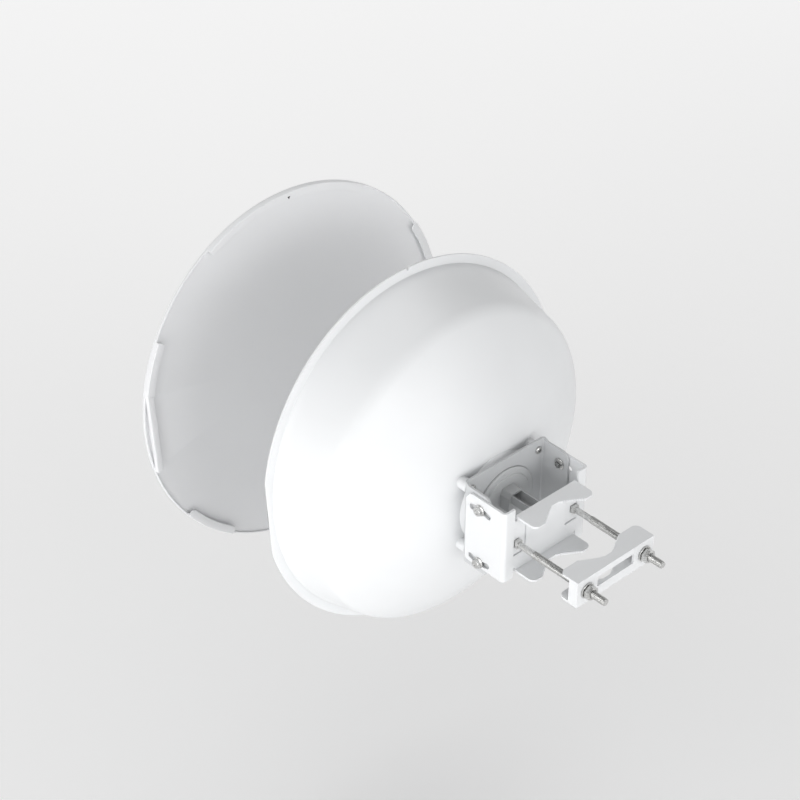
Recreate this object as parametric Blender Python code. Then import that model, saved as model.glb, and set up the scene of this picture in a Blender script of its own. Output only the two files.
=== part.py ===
"""Outdoor wireless bridge: a shrouded dish antenna with its radio in the feed, a clip-on radome
and a tilting steel bracket that clamps to a pole.

Frame: metres, +Z up. The origin is on the axis of a 50 mm pole held in the fixed jaws, at the
height of the tilt axis. The dish looks along -Y, the pole clamp is at +Y.
"""

import math

import bmesh
import bpy
from mathutils import Vector

# ---- dish and radome ------------------------------------------------------------------------
RIM_CENTRE = Vector((0.0, -0.2276, 0.0059))  # middle of the mouth, on the rear face of its flange
MOUTH_TILT = math.radians(4.33)              # the mouth faces slightly down, to shed rain
RIM_R = 0.2065
CHORD_X = 0.2018                             # the rim is cut straight at both sides
THROAT_R = 0.1966                            # shroud wall where it meets the flange
FLANGE_T = 0.0025
SHELL_T = 0.0020
CREASE_R = 0.1825                            # shroud meets bowl
CREASE_Y = -0.1690
CREASE_Z = 0.0033
BOWL_APEX_Y = -0.1021
BOWL_DEPTH = BOWL_APEX_Y - CREASE_Y          # paraboloid, focal length about 125 mm
PAD_R = 0.0480                               # flat seat for the bracket
PAD_Y = -0.0994
HUB_HOLE_R = 0.0370
NOTCH_W = 0.0058
NOTCH_DEPTH = 0.0040
RING_SEGMENTS = 72

RADOME_R = 0.2104
RADOME_PULL = 0.1934                         # how far the radome is drawn off along -Y
RADOME_SEAT = -0.0022                        # its rim plane from the flange's rear face, seated
RADOME_LIP_H = 0.0020
RADOME_LIP_W = 0.0018
RADOME_T = 0.0030
CLIP_H = 0.0045
CLIP_HOOK_T = 0.0020
CLIP_WALL_T = 0.0020
CLIP_INNER_R = 0.2010
CLIP_CHORD_X = 0.1970
CLIP_CHORD_WALL_X = 0.2046
CLIP_CHORD_HALF = 0.0470

# ---- bracket --------------------------------------------------------------------------------
SHEET_T = 0.0025
BEND_R = 0.0045                              # outside radius of the bends
OUTER_HALF_X = 0.0590
OUTER_FRONT_Y = -0.0926
PLATE_Y = -0.0376                            # rear face of the pole bracket
OUTER_TOP_Z = 0.0474
OUTER_BOTTOM_Z = -0.0396
JAW_TOP_Z = 0.0371
JAW_BOTTOM_Z = -0.0336
JAW_HALF_X = 0.0420
JAW_TIP_Y = -0.0121
JAW_ROOT_Y = -0.0269                         # bottom of the V
VEE_FLAT_HALF = 0.0050
VEE_TIP_X = 0.0285
TEETH = 9
TOOTH_H = 0.0021
VEE_PLAIN = 0.16                             # share of each flank left without teeth
RELIEF_X = 0.0448

TILT_Y = -0.0725                             # tilt axis, along X at z = 0
TILT_BOLT_R = 0.0336                         # bolts sit above and below the axis
TILT_NUT_H = 0.0026
TILT_BOLT_TIP_X = 0.0506
SLOT_HALF_ANGLE = math.radians(20.0)
SLOT_W = 0.0068

INNER_HALF_X = 0.0562
INNER_BACK_Y = -0.0966                       # rear face of the back plate
INNER_ARM_END_Y = -0.0611
INNER_TOP_Z = 0.0534
INNER_ARM_TOP_Z = 0.0508
INNER_BOTTOM_Z = -0.0481
SCREW_X = 0.0470
SCREW_Z = (0.0410, -0.0370)
GROUND_Z = -0.0441
BOSS_R = 0.0070

# ---- pole clamp -----------------------------------------------------------------------------
BOLT_X = 0.04075
BOLT_Z = 0.0027
BOLT_R = 0.0040
BOLT_TIP_Y = 0.0824
NECK_HALF = 0.0040                            # half the square neck under a carriage bolt's head
NECK_END_Y = PLATE_Y + 0.0035
THREAD_START_Y = -0.0146
CLAMP_WEB_Y = 0.0574                         # rear face of the clamp's web, opened
CLAMP_HALF_X = 0.0542
CLAMP_TOP_Z = 0.0182
CLAMP_BOTTOM_Z = -0.0128
CLAMP_TIP_Y = 0.0331
CLAMP_VEE_Y = 0.0464
WASHER_T = 0.0016
NUT_H = 0.0065

# ---- feed and radio -------------------------------------------------------------------------
HUB_R = 0.0398
CHANNEL_ROOT_Y = -0.0793
GAP = 0.0003

WHITE_PAINT = (0.86, 0.87, 0.88)
WHITE_PLASTIC = (0.84, 0.85, 0.86)
LIGHT_GREY = (0.62, 0.63, 0.64)
ZINC = (0.62, 0.62, 0.61)


# ---- scene, materials and bodies ------------------------------------------------------------
def clear_scene():
    for item in list(bpy.data.objects):
        bpy.data.objects.remove(item, do_unlink=True)


def make_material(name, colour, roughness, metallic=0.0):
    material = bpy.data.materials.new(name)
    material.use_nodes = True
    shader = material.node_tree.nodes["Principled BSDF"]
    shader.inputs["Base Color"].default_value = (*colour, 1.0)
    shader.inputs["Roughness"].default_value = roughness
    shader.inputs["Metallic"].default_value = metallic
    return material


def make_body(name, location):
    """An empty on the joint's axis, which carries the pieces of one moving body."""
    empty = bpy.data.objects.new(name, None)
    empty.location = location
    bpy.context.scene.collection.objects.link(empty)
    return empty


def add_part(name, shape, body, colour, roughness=0.5, metallic=0.0):
    """Turn a bmesh in world coordinates into a named object on its body."""
    bmesh.ops.recalc_face_normals(shape, faces=shape.faces)
    bmesh.ops.translate(shape, verts=shape.verts, vec=-body.location)
    mesh = bpy.data.meshes.new(name)
    shape.to_mesh(mesh)
    shape.free()
    mesh.shade_smooth()
    mesh.set_sharp_from_angle(angle=math.radians(32.0))
    part = bpy.data.objects.new(name, mesh)
    part.data.materials.append(make_material(name + "_finish", colour, roughness, metallic))
    part.parent = body
    bpy.context.scene.collection.objects.link(part)
    return part


def boolean(part, operation, shape, label):
    """Add a Boolean modifier whose operand is a hidden guide object."""
    guide = add_part(part.name + "_" + label, shape, part.parent, LIGHT_GREY)
    guide.hide_render = True
    guide.display_type = "WIRE"
    modifier = part.modifiers.new(label, "BOOLEAN")
    modifier.operation = operation
    modifier.solver = "EXACT"
    modifier.object = guide
    return guide


# ---- ways of placing a section (u, v) with a depth w ------------------------------------------
def facing_y(u, v, w):
    return Vector((u, w, v))


def facing_x(u, v, w):
    return Vector((w, u, v))


def facing_z(u, v, w):
    return Vector((u, v, w))


def about_y(x, z):
    """Turned about a line along Y through (x, z)."""
    return lambda u, v, w: Vector((x + u, w, z + v))


def about_x(y, z):
    """Turned about a line along X through (y, z)."""
    return lambda u, v, w: Vector((w, y + u, z + v))


def on_mouth(u, v, w, shift=0.0):
    """In the plane of the dish's mouth: u along X, v up the plane, w towards the rear."""
    c, s = math.cos(MOUTH_TILT), math.sin(MOUTH_TILT)
    return RIM_CENTRE + Vector((u, w * c - v * s + shift, w * s + v * c))


def on_radome(u, v, w):
    """The radome keeps the mouth's tilt and is drawn off along -Y."""
    return on_mouth(u, v, w + RADOME_SEAT, -RADOME_PULL)


# ---- outlines -------------------------------------------------------------------------------
def arc(cu, cv, radius, start, end, steps):
    """Points on an arc, angles in degrees."""
    points = []
    for i in range(steps + 1):
        angle = math.radians(start + (end - start) * i / steps)
        points.append((cu + radius * math.cos(angle), cv + radius * math.sin(angle)))
    return points


def polygon(radius, sides, turn=0.0):
    return arc(0.0, 0.0, radius, turn, turn + 360.0 * (sides - 1) / sides, sides - 1)


def rectangle(u0, v0, u1, v1):
    return [(u0, v0), (u1, v0), (u1, v1), (u0, v1)]


def rounded(corners, steps=4, closed=True):
    """Round the corners of an outline given as (u, v, radius)."""
    result = []
    count = len(corners)
    for i, (u, v, radius) in enumerate(corners):
        if radius <= 0.0 or (not closed and i in (0, count - 1)):
            result.append((u, v))
            continue
        here = Vector((u, v))
        before = (Vector(corners[i - 1][:2]) - here).normalized()
        after = (Vector(corners[(i + 1) % count][:2]) - here).normalized()
        half = before.angle(after) / 2.0
        centre = here + (before + after).normalized() * (radius / math.sin(half))
        start = here + before * (radius / math.tan(half)) - centre
        end = here + after * (radius / math.tan(half)) - centre
        sweep = start.angle_signed(end)
        for k in range(steps + 1):
            turn = -sweep * k / steps
            c, s = math.cos(turn), math.sin(turn)
            result.append((centre.x + start.x * c - start.y * s, centre.y + start.x * s + start.y * c))
    return result


def sheet_outline(corners, thickness, radius, steps=4):
    """Section of bent sheet: corners of the outer face, the sheet lies to their left."""
    outer = rounded([(u, v, radius) for u, v in corners], steps, closed=False)
    inner = []
    for i, (u, v) in enumerate(corners):
        here = Vector((u, v))
        sides = []
        if i > 0:
            sides.append((here - Vector(corners[i - 1])).normalized())
        if i < len(corners) - 1:
            sides.append((Vector(corners[i + 1]) - here).normalized())
        normals = [Vector((-d.y, d.x)) for d in sides]
        push = sum(normals, Vector((0.0, 0.0)))
        push = push / push.dot(normals[0]) * thickness
        inner.append((here.x + push.x, here.y + push.y, radius - thickness))
    return outer + list(reversed(rounded(inner, steps, closed=False)))


def vee_edge(tip_x, tip_y, flat_y, teeth):
    """Toothed V from its right tip over the flat to its left tip; the V opens towards tip_y."""
    lift = math.copysign(TOOTH_H, tip_y - flat_y)
    flank = [(VEE_FLAT_HALF, flat_y)]
    for i in range(2 * teeth + 1):
        t = VEE_PLAIN + (1.0 - VEE_PLAIN) * i / (2.0 * teeth)
        u = VEE_FLAT_HALF + (tip_x - VEE_FLAT_HALF) * t
        v = flat_y + (tip_y - flat_y) * t
        if i % 2:
            v -= lift
        flank.append((u, v))
    return list(reversed(flank)) + [(-u, v) for u, v in flank]


# ---- solids ---------------------------------------------------------------------------------
def prism(outline, w0, w1, place, shape=None):
    """Extrude an outline from depth w0 to w1."""
    shape = shape or bmesh.new()
    near = [shape.verts.new(place(u, v, w0)) for u, v in outline]
    far = [shape.verts.new(place(u, v, w1)) for u, v in outline]
    shape.faces.new(near)
    shape.faces.new(list(reversed(far)))
    for i in range(len(outline)):
        j = (i + 1) % len(outline)
        shape.faces.new((near[j], near[i], far[i], far[j]))
    return shape


def bridge(shape, ring_a, ring_b):
    """Skin two rings, either of which may be a single point."""
    count = max(len(ring_a), len(ring_b))
    for i in range(count):
        j = (i + 1) % count
        if len(ring_a) == 1:
            shape.faces.new((ring_a[0], ring_b[j], ring_b[i]))
        elif len(ring_b) == 1:
            shape.faces.new((ring_a[i], ring_a[j], ring_b[0]))
        else:
            shape.faces.new((ring_a[i], ring_a[j], ring_b[j], ring_b[i]))


def turned(profile, place, segments, closed=False, shape=None):
    """Turn a profile of (radius, depth); a closed one is a ring, an open one ends on the axis."""
    shape = shape or bmesh.new()
    rings = []
    for radius, depth in profile:
        if radius < 1e-7:
            rings.append([shape.verts.new(place(0.0, 0.0, depth))])
            continue
        rings.append([shape.verts.new(place(u, v, depth)) for u, v in polygon(radius, segments)])
    for ring_a, ring_b in zip(rings, rings[1:]):
        bridge(shape, ring_a, ring_b)
    if closed:
        bridge(shape, rings[-1], rings[0])
    return shape


def skinned(rings):
    """A ring-shaped shell from closed rings of points, the last joined to the first."""
    shape = bmesh.new()
    loops = [[shape.verts.new(point) for point in ring] for ring in rings]
    for i, loop in enumerate(loops):
        bridge(shape, loop, loops[(i + 1) % len(loops)])
    return shape


def swept(section, path, place):
    """Sweep a section of (offset, height) along a path of ((u, v), (outward u, v))."""
    shape = bmesh.new()
    loops = []
    for (u, v), (nu, nv) in path:
        loops.append([shape.verts.new(place(u + nu * a, v + nv * a, h)) for a, h in section])
    shape.faces.new(loops[0])
    shape.faces.new(list(reversed(loops[-1])))
    for loop_a, loop_b in zip(loops, loops[1:]):
        bridge(shape, loop_a, loop_b)
    return shape


# ---- dish -----------------------------------------------------------------------------------
def bowl_y(radius, inset=0.0):
    return BOWL_APEX_Y - inset - BOWL_DEPTH * (radius / CREASE_R) ** 2


def bowl_ring(radius, y):
    """A ring of the bowl; its centre drifts up to the crease's centre with the radius."""
    z = CREASE_Z * radius / CREASE_R
    return [Vector((u, y, z + v)) for u, v in polygon(radius, RING_SEGMENTS)]


def mouth_ring(radius, depth, chord=None):
    points = []
    for u, v in polygon(radius, RING_SEGMENTS):
        if chord is not None:
            u = max(-chord, min(chord, u))
        points.append(on_mouth(u, v, depth))
    return points


def on_bowl_to_pad(x, z):
    """Depth 0 lies in the bowl's skin and depth 1 is level with the bracket's seat."""
    def place(u, v, w):
        skin = bowl_y(math.hypot(x + u, z + v), 0.0010)
        return Vector((x + u, PAD_Y if w > 0.5 else skin, z + v))
    return place


def make_reflector(dish):
    outer = [
        bowl_ring(HUB_HOLE_R, PAD_Y),
        bowl_ring(PAD_R, PAD_Y),
        bowl_ring(PAD_R + 0.004, bowl_y(PAD_R + 0.004)),
    ]
    for share in (0.42, 0.55, 0.68, 0.80, 0.90, 0.97, 1.0):
        outer.append(bowl_ring(CREASE_R * share, bowl_y(CREASE_R * share)))
    inner_crease = CREASE_R - SHELL_T
    rim = [
        mouth_ring(THROAT_R, 0.0),
        mouth_ring(RIM_R, 0.0, CHORD_X),
        mouth_ring(RIM_R, -FLANGE_T, CHORD_X),
        mouth_ring(THROAT_R - SHELL_T, -FLANGE_T),
    ]
    inner = [bowl_ring(inner_crease, CREASE_Y - 0.0012)]
    for share in (0.85, 0.68, 0.50, 0.35):
        inner.append(bowl_ring(inner_crease * share, bowl_y(inner_crease * share, 0.0022)))
    inner.append(bowl_ring(PAD_R + 0.0025, bowl_y(PAD_R + 0.0025, 0.0022)))
    inner.append(bowl_ring(PAD_R - 0.0025, PAD_Y - 0.0025))
    inner.append(bowl_ring(HUB_HOLE_R, PAD_Y - 0.0025))
    reflector = add_part("reflector", skinned(outer + rim + inner), dish, WHITE_PAINT, 0.45)

    notch = [(0.0, RIM_R - NOTCH_DEPTH), (NOTCH_W / 2, RIM_R + 0.001), (-NOTCH_W / 2, RIM_R + 0.001)]
    boolean(reflector, "DIFFERENCE", prism(notch, -0.006, 0.004, on_mouth), "top_notch")
    bosses = bmesh.new()
    holes = bmesh.new()
    for x in (-SCREW_X, SCREW_X):
        for z in SCREW_Z:
            turned([(0, 0), (BOSS_R, 0), (BOSS_R, 1), (0, 1)], on_bowl_to_pad(x, z), 16, shape=bosses)
            turned([(0, PAD_Y - 0.0085), (0.0024, PAD_Y - 0.0085), (0.0024, PAD_Y + 0.001),
                    (0, PAD_Y + 0.001)],
                   about_y(x, z), 12, shape=holes)
    boolean(reflector, "UNION", bosses, "screw_bosses")
    boolean(reflector, "DIFFERENCE", holes, "screw_holes")


def make_rim_seal(dish):
    """Foam strip on the front of the flange, which the seated radome presses on."""
    inner_r, outer_r = THROAT_R - SHELL_T + 0.001, 0.2012
    front, back = -FLANGE_T - GAP - 0.0011, -FLANGE_T - GAP
    rings = [mouth_ring(inner_r, back), mouth_ring(outer_r, back), mouth_ring(outer_r, front),
             mouth_ring(inner_r, front)]
    add_part("rim_seal", skinned(rings), dish, (0.09, 0.09, 0.09), 0.9)


# ---- radome ---------------------------------------------------------------------------------
def clip_section(hook):
    """Wall outwards of the rim and a hook over it; offsets run from the wall's outer face."""
    return [(0.0, -0.0030), (0.0, CLIP_H - 0.0008), (-0.0008, CLIP_H), (-hook, CLIP_H),
            (-hook, CLIP_H - CLIP_HOOK_T), (-CLIP_WALL_T, CLIP_H - CLIP_HOOK_T), (-CLIP_WALL_T, -0.0030)]


def arc_path(radius, start, end):
    steps = max(2, round(abs(end - start) / 4.0))
    directions = arc(0.0, 0.0, 1.0, start, end, steps)
    return [((radius * u, radius * v), (u, v)) for u, v in directions]


def make_radome(radome):
    floor, front = -RADOME_LIP_H, -RADOME_LIP_H - RADOME_T
    profile = [(0.0, floor), (0.1, floor), (RADOME_R - RADOME_LIP_W, floor), (RADOME_R - RADOME_LIP_W, 0.0),
               (RADOME_R, 0.0), (RADOME_R, front + 0.0012), (RADOME_R - 0.0012, front), (0.1, front),
               (0.0, front)]
    cover = add_part("radome_cover", turned(profile, on_radome, RING_SEGMENTS), radome, LIGHT_GREY, 0.5)

    hook = RADOME_R - CLIP_INNER_R
    arcs = {"top_clip": (60.0, 120.5), "lower_left_clip": (-56.0, -35.0),
            "lower_right_clip": (-145.0, -124.0), "left_clip": (12.9, 30.0), "right_clip": (150.0, 167.1)}
    for label, (start, end) in arcs.items():
        boolean(cover, "UNION", swept(clip_section(hook), arc_path(RADOME_R - 0.0001, start, end),
                                      on_radome), label)
    for label, side in (("left_straight_clip", 1.0), ("right_straight_clip", -1.0)):
        wall = side * CLIP_CHORD_WALL_X
        top = RADOME_R * math.sin(math.radians(13.2))
        path = [((wall, top), (side, 0.0)), ((wall, -CLIP_CHORD_HALF), (side, 0.0))]
        section = clip_section(CLIP_CHORD_WALL_X - CLIP_CHORD_X)
        boolean(cover, "UNION", swept(section, path, on_radome), label)


# ---- pole bracket ---------------------------------------------------------------------------
def slot_outline():
    """Curved slot about the tilt axis, drawn above it."""
    half = math.degrees(SLOT_HALF_ANGLE)
    outer = arc(0.0, 0.0, TILT_BOLT_R + SLOT_W / 2, 90 - half, 90 + half, 8)
    inner = arc(0.0, 0.0, TILT_BOLT_R - SLOT_W / 2, 90 + half, 90 - half, 8)
    c, s = TILT_BOLT_R * math.sin(SLOT_HALF_ANGLE), TILT_BOLT_R * math.cos(SLOT_HALF_ANGLE)
    left_end = arc(-c, s, SLOT_W / 2, 90 + half, 270 + half, 6)[1:-1]
    right_end = arc(c, s, SLOT_W / 2, -90 - half, 90 - half, 6)[1:-1]
    return outer + left_end + inner + right_end


def jaw_plan(half_x, back_y, tip_y, vee_y, tip_x, corner_r, teeth):
    """Plan of a jaw flange with a toothed V between two lobes."""
    side = math.copysign(1.0, tip_y - back_y)
    vee = vee_edge(tip_x, tip_y, vee_y, teeth)
    right = arc(half_x - corner_r, tip_y - side * corner_r, corner_r, 0.0, side * 90.0, 4)
    left = [(-u, v) for u, v in reversed(right)]
    return [(half_x, back_y)] + right + vee + left + [(-half_x, back_y)]


def make_pole_bracket(root):
    plan = sheet_outline(
        [(OUTER_HALF_X, OUTER_FRONT_Y), (OUTER_HALF_X, PLATE_Y), (-OUTER_HALF_X, PLATE_Y),
         (-OUTER_HALF_X, OUTER_FRONT_Y)], SHEET_T, BEND_R)
    bracket = add_part("pole_bracket", prism(plan, OUTER_BOTTOM_Z, OUTER_TOP_Z, facing_z), root,
                       WHITE_PAINT, 0.45)

    side_view = rounded([
        (OUTER_FRONT_Y, OUTER_BOTTOM_Z, 0.004), (OUTER_FRONT_Y + 0.030, OUTER_BOTTOM_Z - 0.0004, 0.0),
        (PLATE_Y + 0.001, OUTER_BOTTOM_Z, 0.0), (PLATE_Y + 0.001, OUTER_TOP_Z, 0.0),
        (OUTER_FRONT_Y + 0.006, OUTER_TOP_Z - 0.0004, 0.004), (OUTER_FRONT_Y, OUTER_TOP_Z - 0.009, 0.005)])
    boolean(bracket, "INTERSECT", prism(side_view, -0.07, 0.07, facing_x), "side_trim")

    windows = prism(rectangle(-RELIEF_X, JAW_TOP_Z - 0.0055, RELIEF_X, 0.06), PLATE_Y - 0.006,
                    PLATE_Y + 0.002, facing_y)
    prism(rectangle(-RELIEF_X, -0.06, RELIEF_X, JAW_BOTTOM_Z + 0.0055), PLATE_Y - 0.006, PLATE_Y + 0.002,
          facing_y, windows)
    boolean(bracket, "DIFFERENCE", windows, "reliefs")

    section = sheet_outline(
        [(JAW_TIP_Y + 0.002, JAW_BOTTOM_Z), (PLATE_Y - SHEET_T, JAW_BOTTOM_Z),
         (PLATE_Y - SHEET_T, JAW_TOP_Z), (JAW_TIP_Y + 0.002, JAW_TOP_Z)], -SHEET_T, -BEND_R)
    jaws = prism(section, -JAW_HALF_X, JAW_HALF_X, facing_x)
    jaws_part = add_part("pole_bracket_jaws", jaws, root, LIGHT_GREY)
    jaws_part.hide_render = True
    jaws_part.display_type = "WIRE"
    outline = jaw_plan(JAW_HALF_X, PLATE_Y - 0.006, JAW_TIP_Y, JAW_ROOT_Y, VEE_TIP_X, 0.007, TEETH)
    boolean(jaws_part, "INTERSECT", prism(outline, -0.05, 0.05, facing_z), "plan")
    union = bracket.modifiers.new("jaws", "BOOLEAN")
    union.operation = "UNION"
    union.solver = "EXACT"
    union.object = jaws_part

    pockets = bmesh.new()
    necks = bmesh.new()
    for side in (-1.0, 1.0):
        low, high = sorted((side * 0.0280, side * 0.0453))
        prism(rectangle(low, -0.0124, high, 0.0235), PLATE_Y - 0.0011, PLATE_Y + 0.003, facing_y, pockets)
        x = side * BOLT_X
        hole = NECK_HALF + 0.0004
        prism(rectangle(x - hole, BOLT_Z - hole, x + hole, BOLT_Z + hole), PLATE_Y - 0.006,
              PLATE_Y - 0.0005, facing_y, necks)
    boolean(bracket, "DIFFERENCE", pockets, "pockets")
    boolean(bracket, "DIFFERENCE", necks, "neck_holes")

    slots = bmesh.new()
    upper = slot_outline()
    lower = [(-u, -v) for u, v in upper]
    for outline in (upper, lower):
        prism(outline, -0.07, 0.07, about_x(TILT_Y, 0.0), slots)
    boolean(bracket, "DIFFERENCE", slots, "tilt_slots")


def make_carriage_bolts(root):
    for label, x in (("left", BOLT_X), ("right", -BOLT_X)):
        back = PLATE_Y - SHEET_T - GAP
        place = about_y(x, BOLT_Z)
        neck = prism(rectangle(-NECK_HALF, -NECK_HALF, NECK_HALF, NECK_HALF), back - 0.0002, NECK_END_Y,
                     place)
        bolt = add_part("carriage_bolt_" + label, neck, root, ZINC, 0.35, 0.9)
        head = [(0.0, back - 0.0042), (0.0045, back - 0.0038), (0.0080, back - 0.0018),
                (0.0090, back - 0.0004), (0.0090, back), (0.0, back)]
        boolean(bolt, "UNION", turned(head, place, 20), "head")
        shank = [(0.0, back - 0.001), (0.0034, back - 0.001), (0.0034, THREAD_START_Y - 0.001),
                 (BOLT_R, THREAD_START_Y + 0.0005), (BOLT_R, BOLT_TIP_Y - 0.001),
                 (BOLT_R - 0.001, BOLT_TIP_Y), (0.0, BOLT_TIP_Y)]
        boolean(bolt, "UNION", turned(shank, place, 20), "shank")


# ---- pole clamp -----------------------------------------------------------------------------
def make_clamp(clamp):
    front = CLAMP_TIP_Y - 0.002
    section = sheet_outline(
        [(front, CLAMP_TOP_Z), (CLAMP_WEB_Y, CLAMP_TOP_Z), (CLAMP_WEB_Y, CLAMP_BOTTOM_Z),
         (front, CLAMP_BOTTOM_Z)],
        -SHEET_T, -0.0035)
    bracket = add_part("clamp_bracket", prism(section, -CLAMP_HALF_X, CLAMP_HALF_X, facing_x), clamp,
                       WHITE_PAINT, 0.45)
    outline = jaw_plan(CLAMP_HALF_X, CLAMP_WEB_Y + 0.001, CLAMP_TIP_Y, CLAMP_VEE_Y, VEE_TIP_X, 0.007, TEETH)
    boolean(bracket, "INTERSECT", prism(outline, -0.03, 0.03, facing_z), "plan")
    ends = bmesh.new()
    for side in (-1.0, 1.0):
        low, high = sorted((side * CLAMP_HALF_X, side * (CLAMP_HALF_X - SHEET_T)))
        prism(rectangle(low, CLAMP_WEB_Y - 0.0115, high, CLAMP_WEB_Y - 0.0010), CLAMP_BOTTOM_Z + 0.001,
              CLAMP_TOP_Z - 0.001, facing_z, ends)
    boolean(bracket, "UNION", ends, "end_returns")
    cuts = prism(rounded([(-0.026, -0.0015, 0.001), (0.026, -0.0015, 0.001), (0.026, 0.0105, 0.001),
                          (-0.026, 0.0105, 0.001)], 2), CLAMP_WEB_Y - 0.006, CLAMP_WEB_Y + 0.003, facing_y)
    for x in (BOLT_X, -BOLT_X):
        low, high = CLAMP_WEB_Y - 0.006, CLAMP_WEB_Y + 0.003
        turned([(0, low), (BOLT_R + 0.0006, low), (BOLT_R + 0.0006, high), (0, high)], about_y(x, BOLT_Z),
               20, shape=cuts)
    boolean(bracket, "DIFFERENCE", cuts, "web_holes")

    for label, x in (("left", BOLT_X), ("right", -BOLT_X)):
        face = CLAMP_WEB_Y + GAP
        ring = [(BOLT_R + 0.0004, face), (0.0085, face), (0.0085, face + WASHER_T),
                (BOLT_R + 0.0004, face + WASHER_T)]
        add_part("clamp_washer_" + label, turned(ring, about_y(x, BOLT_Z), 24, closed=True), clamp, ZINC,
                 0.35, 0.9)
        start = face + WASHER_T + GAP
        nut = prism(polygon(0.0065 / math.cos(math.radians(30.0)), 6, 30.0), start, start + NUT_H,
                    about_y(x, BOLT_Z))
        nut_part = add_part("clamp_nut_" + label, nut, clamp, ZINC, 0.35, 0.9)
        bore = [(0, start - 0.001), (BOLT_R + 0.0003, start - 0.001),
                (BOLT_R + 0.0003, start + NUT_H + 0.001), (0, start + NUT_H + 0.001)]
        boolean(nut_part, "DIFFERENCE", turned(bore, about_y(x, BOLT_Z), 20), "thread_bore")


# ---- tilting bracket on the dish --------------------------------------------------------------
def make_dish_bracket(dish):
    plan = sheet_outline(
        [(-INNER_HALF_X, INNER_ARM_END_Y), (-INNER_HALF_X, INNER_BACK_Y - SHEET_T),
         (INNER_HALF_X, INNER_BACK_Y - SHEET_T), (INNER_HALF_X, INNER_ARM_END_Y)], SHEET_T, BEND_R)
    bracket = add_part("dish_bracket", prism(plan, INNER_BOTTOM_Z, INNER_TOP_Z, facing_z), dish,
                       WHITE_PAINT, 0.45)
    side_view = rounded([
        (INNER_BACK_Y - 0.004, INNER_BOTTOM_Z, 0.0), (INNER_ARM_END_Y, INNER_BOTTOM_Z, 0.009),
        (INNER_ARM_END_Y, INNER_ARM_TOP_Z, 0.009), (INNER_BACK_Y + 0.006, INNER_ARM_TOP_Z, 0.003),
        (INNER_BACK_Y + 0.0005, INNER_TOP_Z, 0.0), (INNER_BACK_Y - 0.004, INNER_TOP_Z, 0.0)])
    boolean(bracket, "INTERSECT", prism(side_view, -0.07, 0.07, facing_x), "side_trim")
    back, front = INNER_BACK_Y - 0.006, INNER_BACK_Y + 0.003
    holes = turned([(0, back), (HUB_R + 0.0004, back), (HUB_R + 0.0004, front), (0, front)], about_y(0, 0),
                   48)
    for x in (-SCREW_X, SCREW_X):
        for z in SCREW_Z:
            turned([(0, back), (0.0024, back), (0.0024, front), (0, front)], about_y(x, z), 12, shape=holes)
    turned([(0, back), (0.0022, back), (0.0022, front), (0, front)], about_y(0.0, GROUND_Z), 14,
           shape=holes)
    boolean(bracket, "DIFFERENCE", holes, "back_holes")
    bores = bmesh.new()
    for z in (TILT_BOLT_R, -TILT_BOLT_R):
        turned([(0, -0.07), (0.0033, -0.07), (0.0033, 0.07), (0, 0.07)], about_x(TILT_Y, z), 16,
               shape=bores)
    boolean(bracket, "DIFFERENCE", bores, "tilt_bores")


def make_bracket_screws(dish):
    face = INNER_BACK_Y + GAP
    for side, x in (("left", SCREW_X), ("right", -SCREW_X)):
        for level, z in (("upper", SCREW_Z[0]), ("lower", SCREW_Z[1])):
            profile = [(0.0, PAD_Y - 0.0075), (0.0020, PAD_Y - 0.0075), (0.0020, face), (0.0042, face),
                       (0.0042, face + 0.0010), (0.0030, face + 0.0021), (0.0, face + 0.0024)]
            add_part("bracket_screw_%s_%s" % (level, side), turned(profile, about_y(x, z), 16), dish, ZINC,
                     0.35, 0.9)


def make_tilt_fasteners(dish):
    """Flanged bolts through the curved slots, with nuts inside the dish bracket's arms."""
    for side, sign in (("left", 1.0), ("right", -1.0)):
        for level, z in (("upper", TILT_BOLT_R), ("lower", -TILT_BOLT_R)):
            place = about_x(TILT_Y, z)
            face = sign * (OUTER_HALF_X + GAP)
            tip = sign * TILT_BOLT_TIP_X
            profile = [(0.0, tip), (0.0030, tip), (0.0030, face), (0.0062, face),
                       (0.0062, face + sign * 0.0010), (0.0045, face + sign * 0.0016),
                       (0.0, face + sign * 0.0016)]
            bolt = add_part("tilt_bolt_%s_%s" % (level, side), turned(profile, place, 20), dish, ZINC, 0.35,
                            0.9)
            hexagon = polygon(0.0045 / math.cos(math.radians(30.0)), 6, 30.0)
            boolean(bolt, "UNION", prism(hexagon, face + sign * 0.0008, face + sign * 0.0048, place),
                    "hexagon")
            inner = sign * (INNER_HALF_X - SHEET_T - GAP)
            nut = prism(hexagon, inner - sign * 0.0010, inner - sign * TILT_NUT_H, place)
            nut_part = add_part("tilt_nut_%s_%s" % (level, side), nut, dish, ZINC, 0.35, 0.9)
            flange = [(0.0, inner), (0.0064, inner), (0.0064, inner - sign * 0.0010),
                      (0.0046, inner - sign * 0.0018), (0.0, inner - sign * 0.0018)]
            boolean(nut_part, "UNION", turned(flange, place, 20), "flange")
            bore = [(0, sign * 0.044), (0.0033, sign * 0.044), (0.0033, sign * 0.058), (0, sign * 0.058)]
            boolean(nut_part, "DIFFERENCE", turned(bore, place, 16), "thread_bore")


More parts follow.
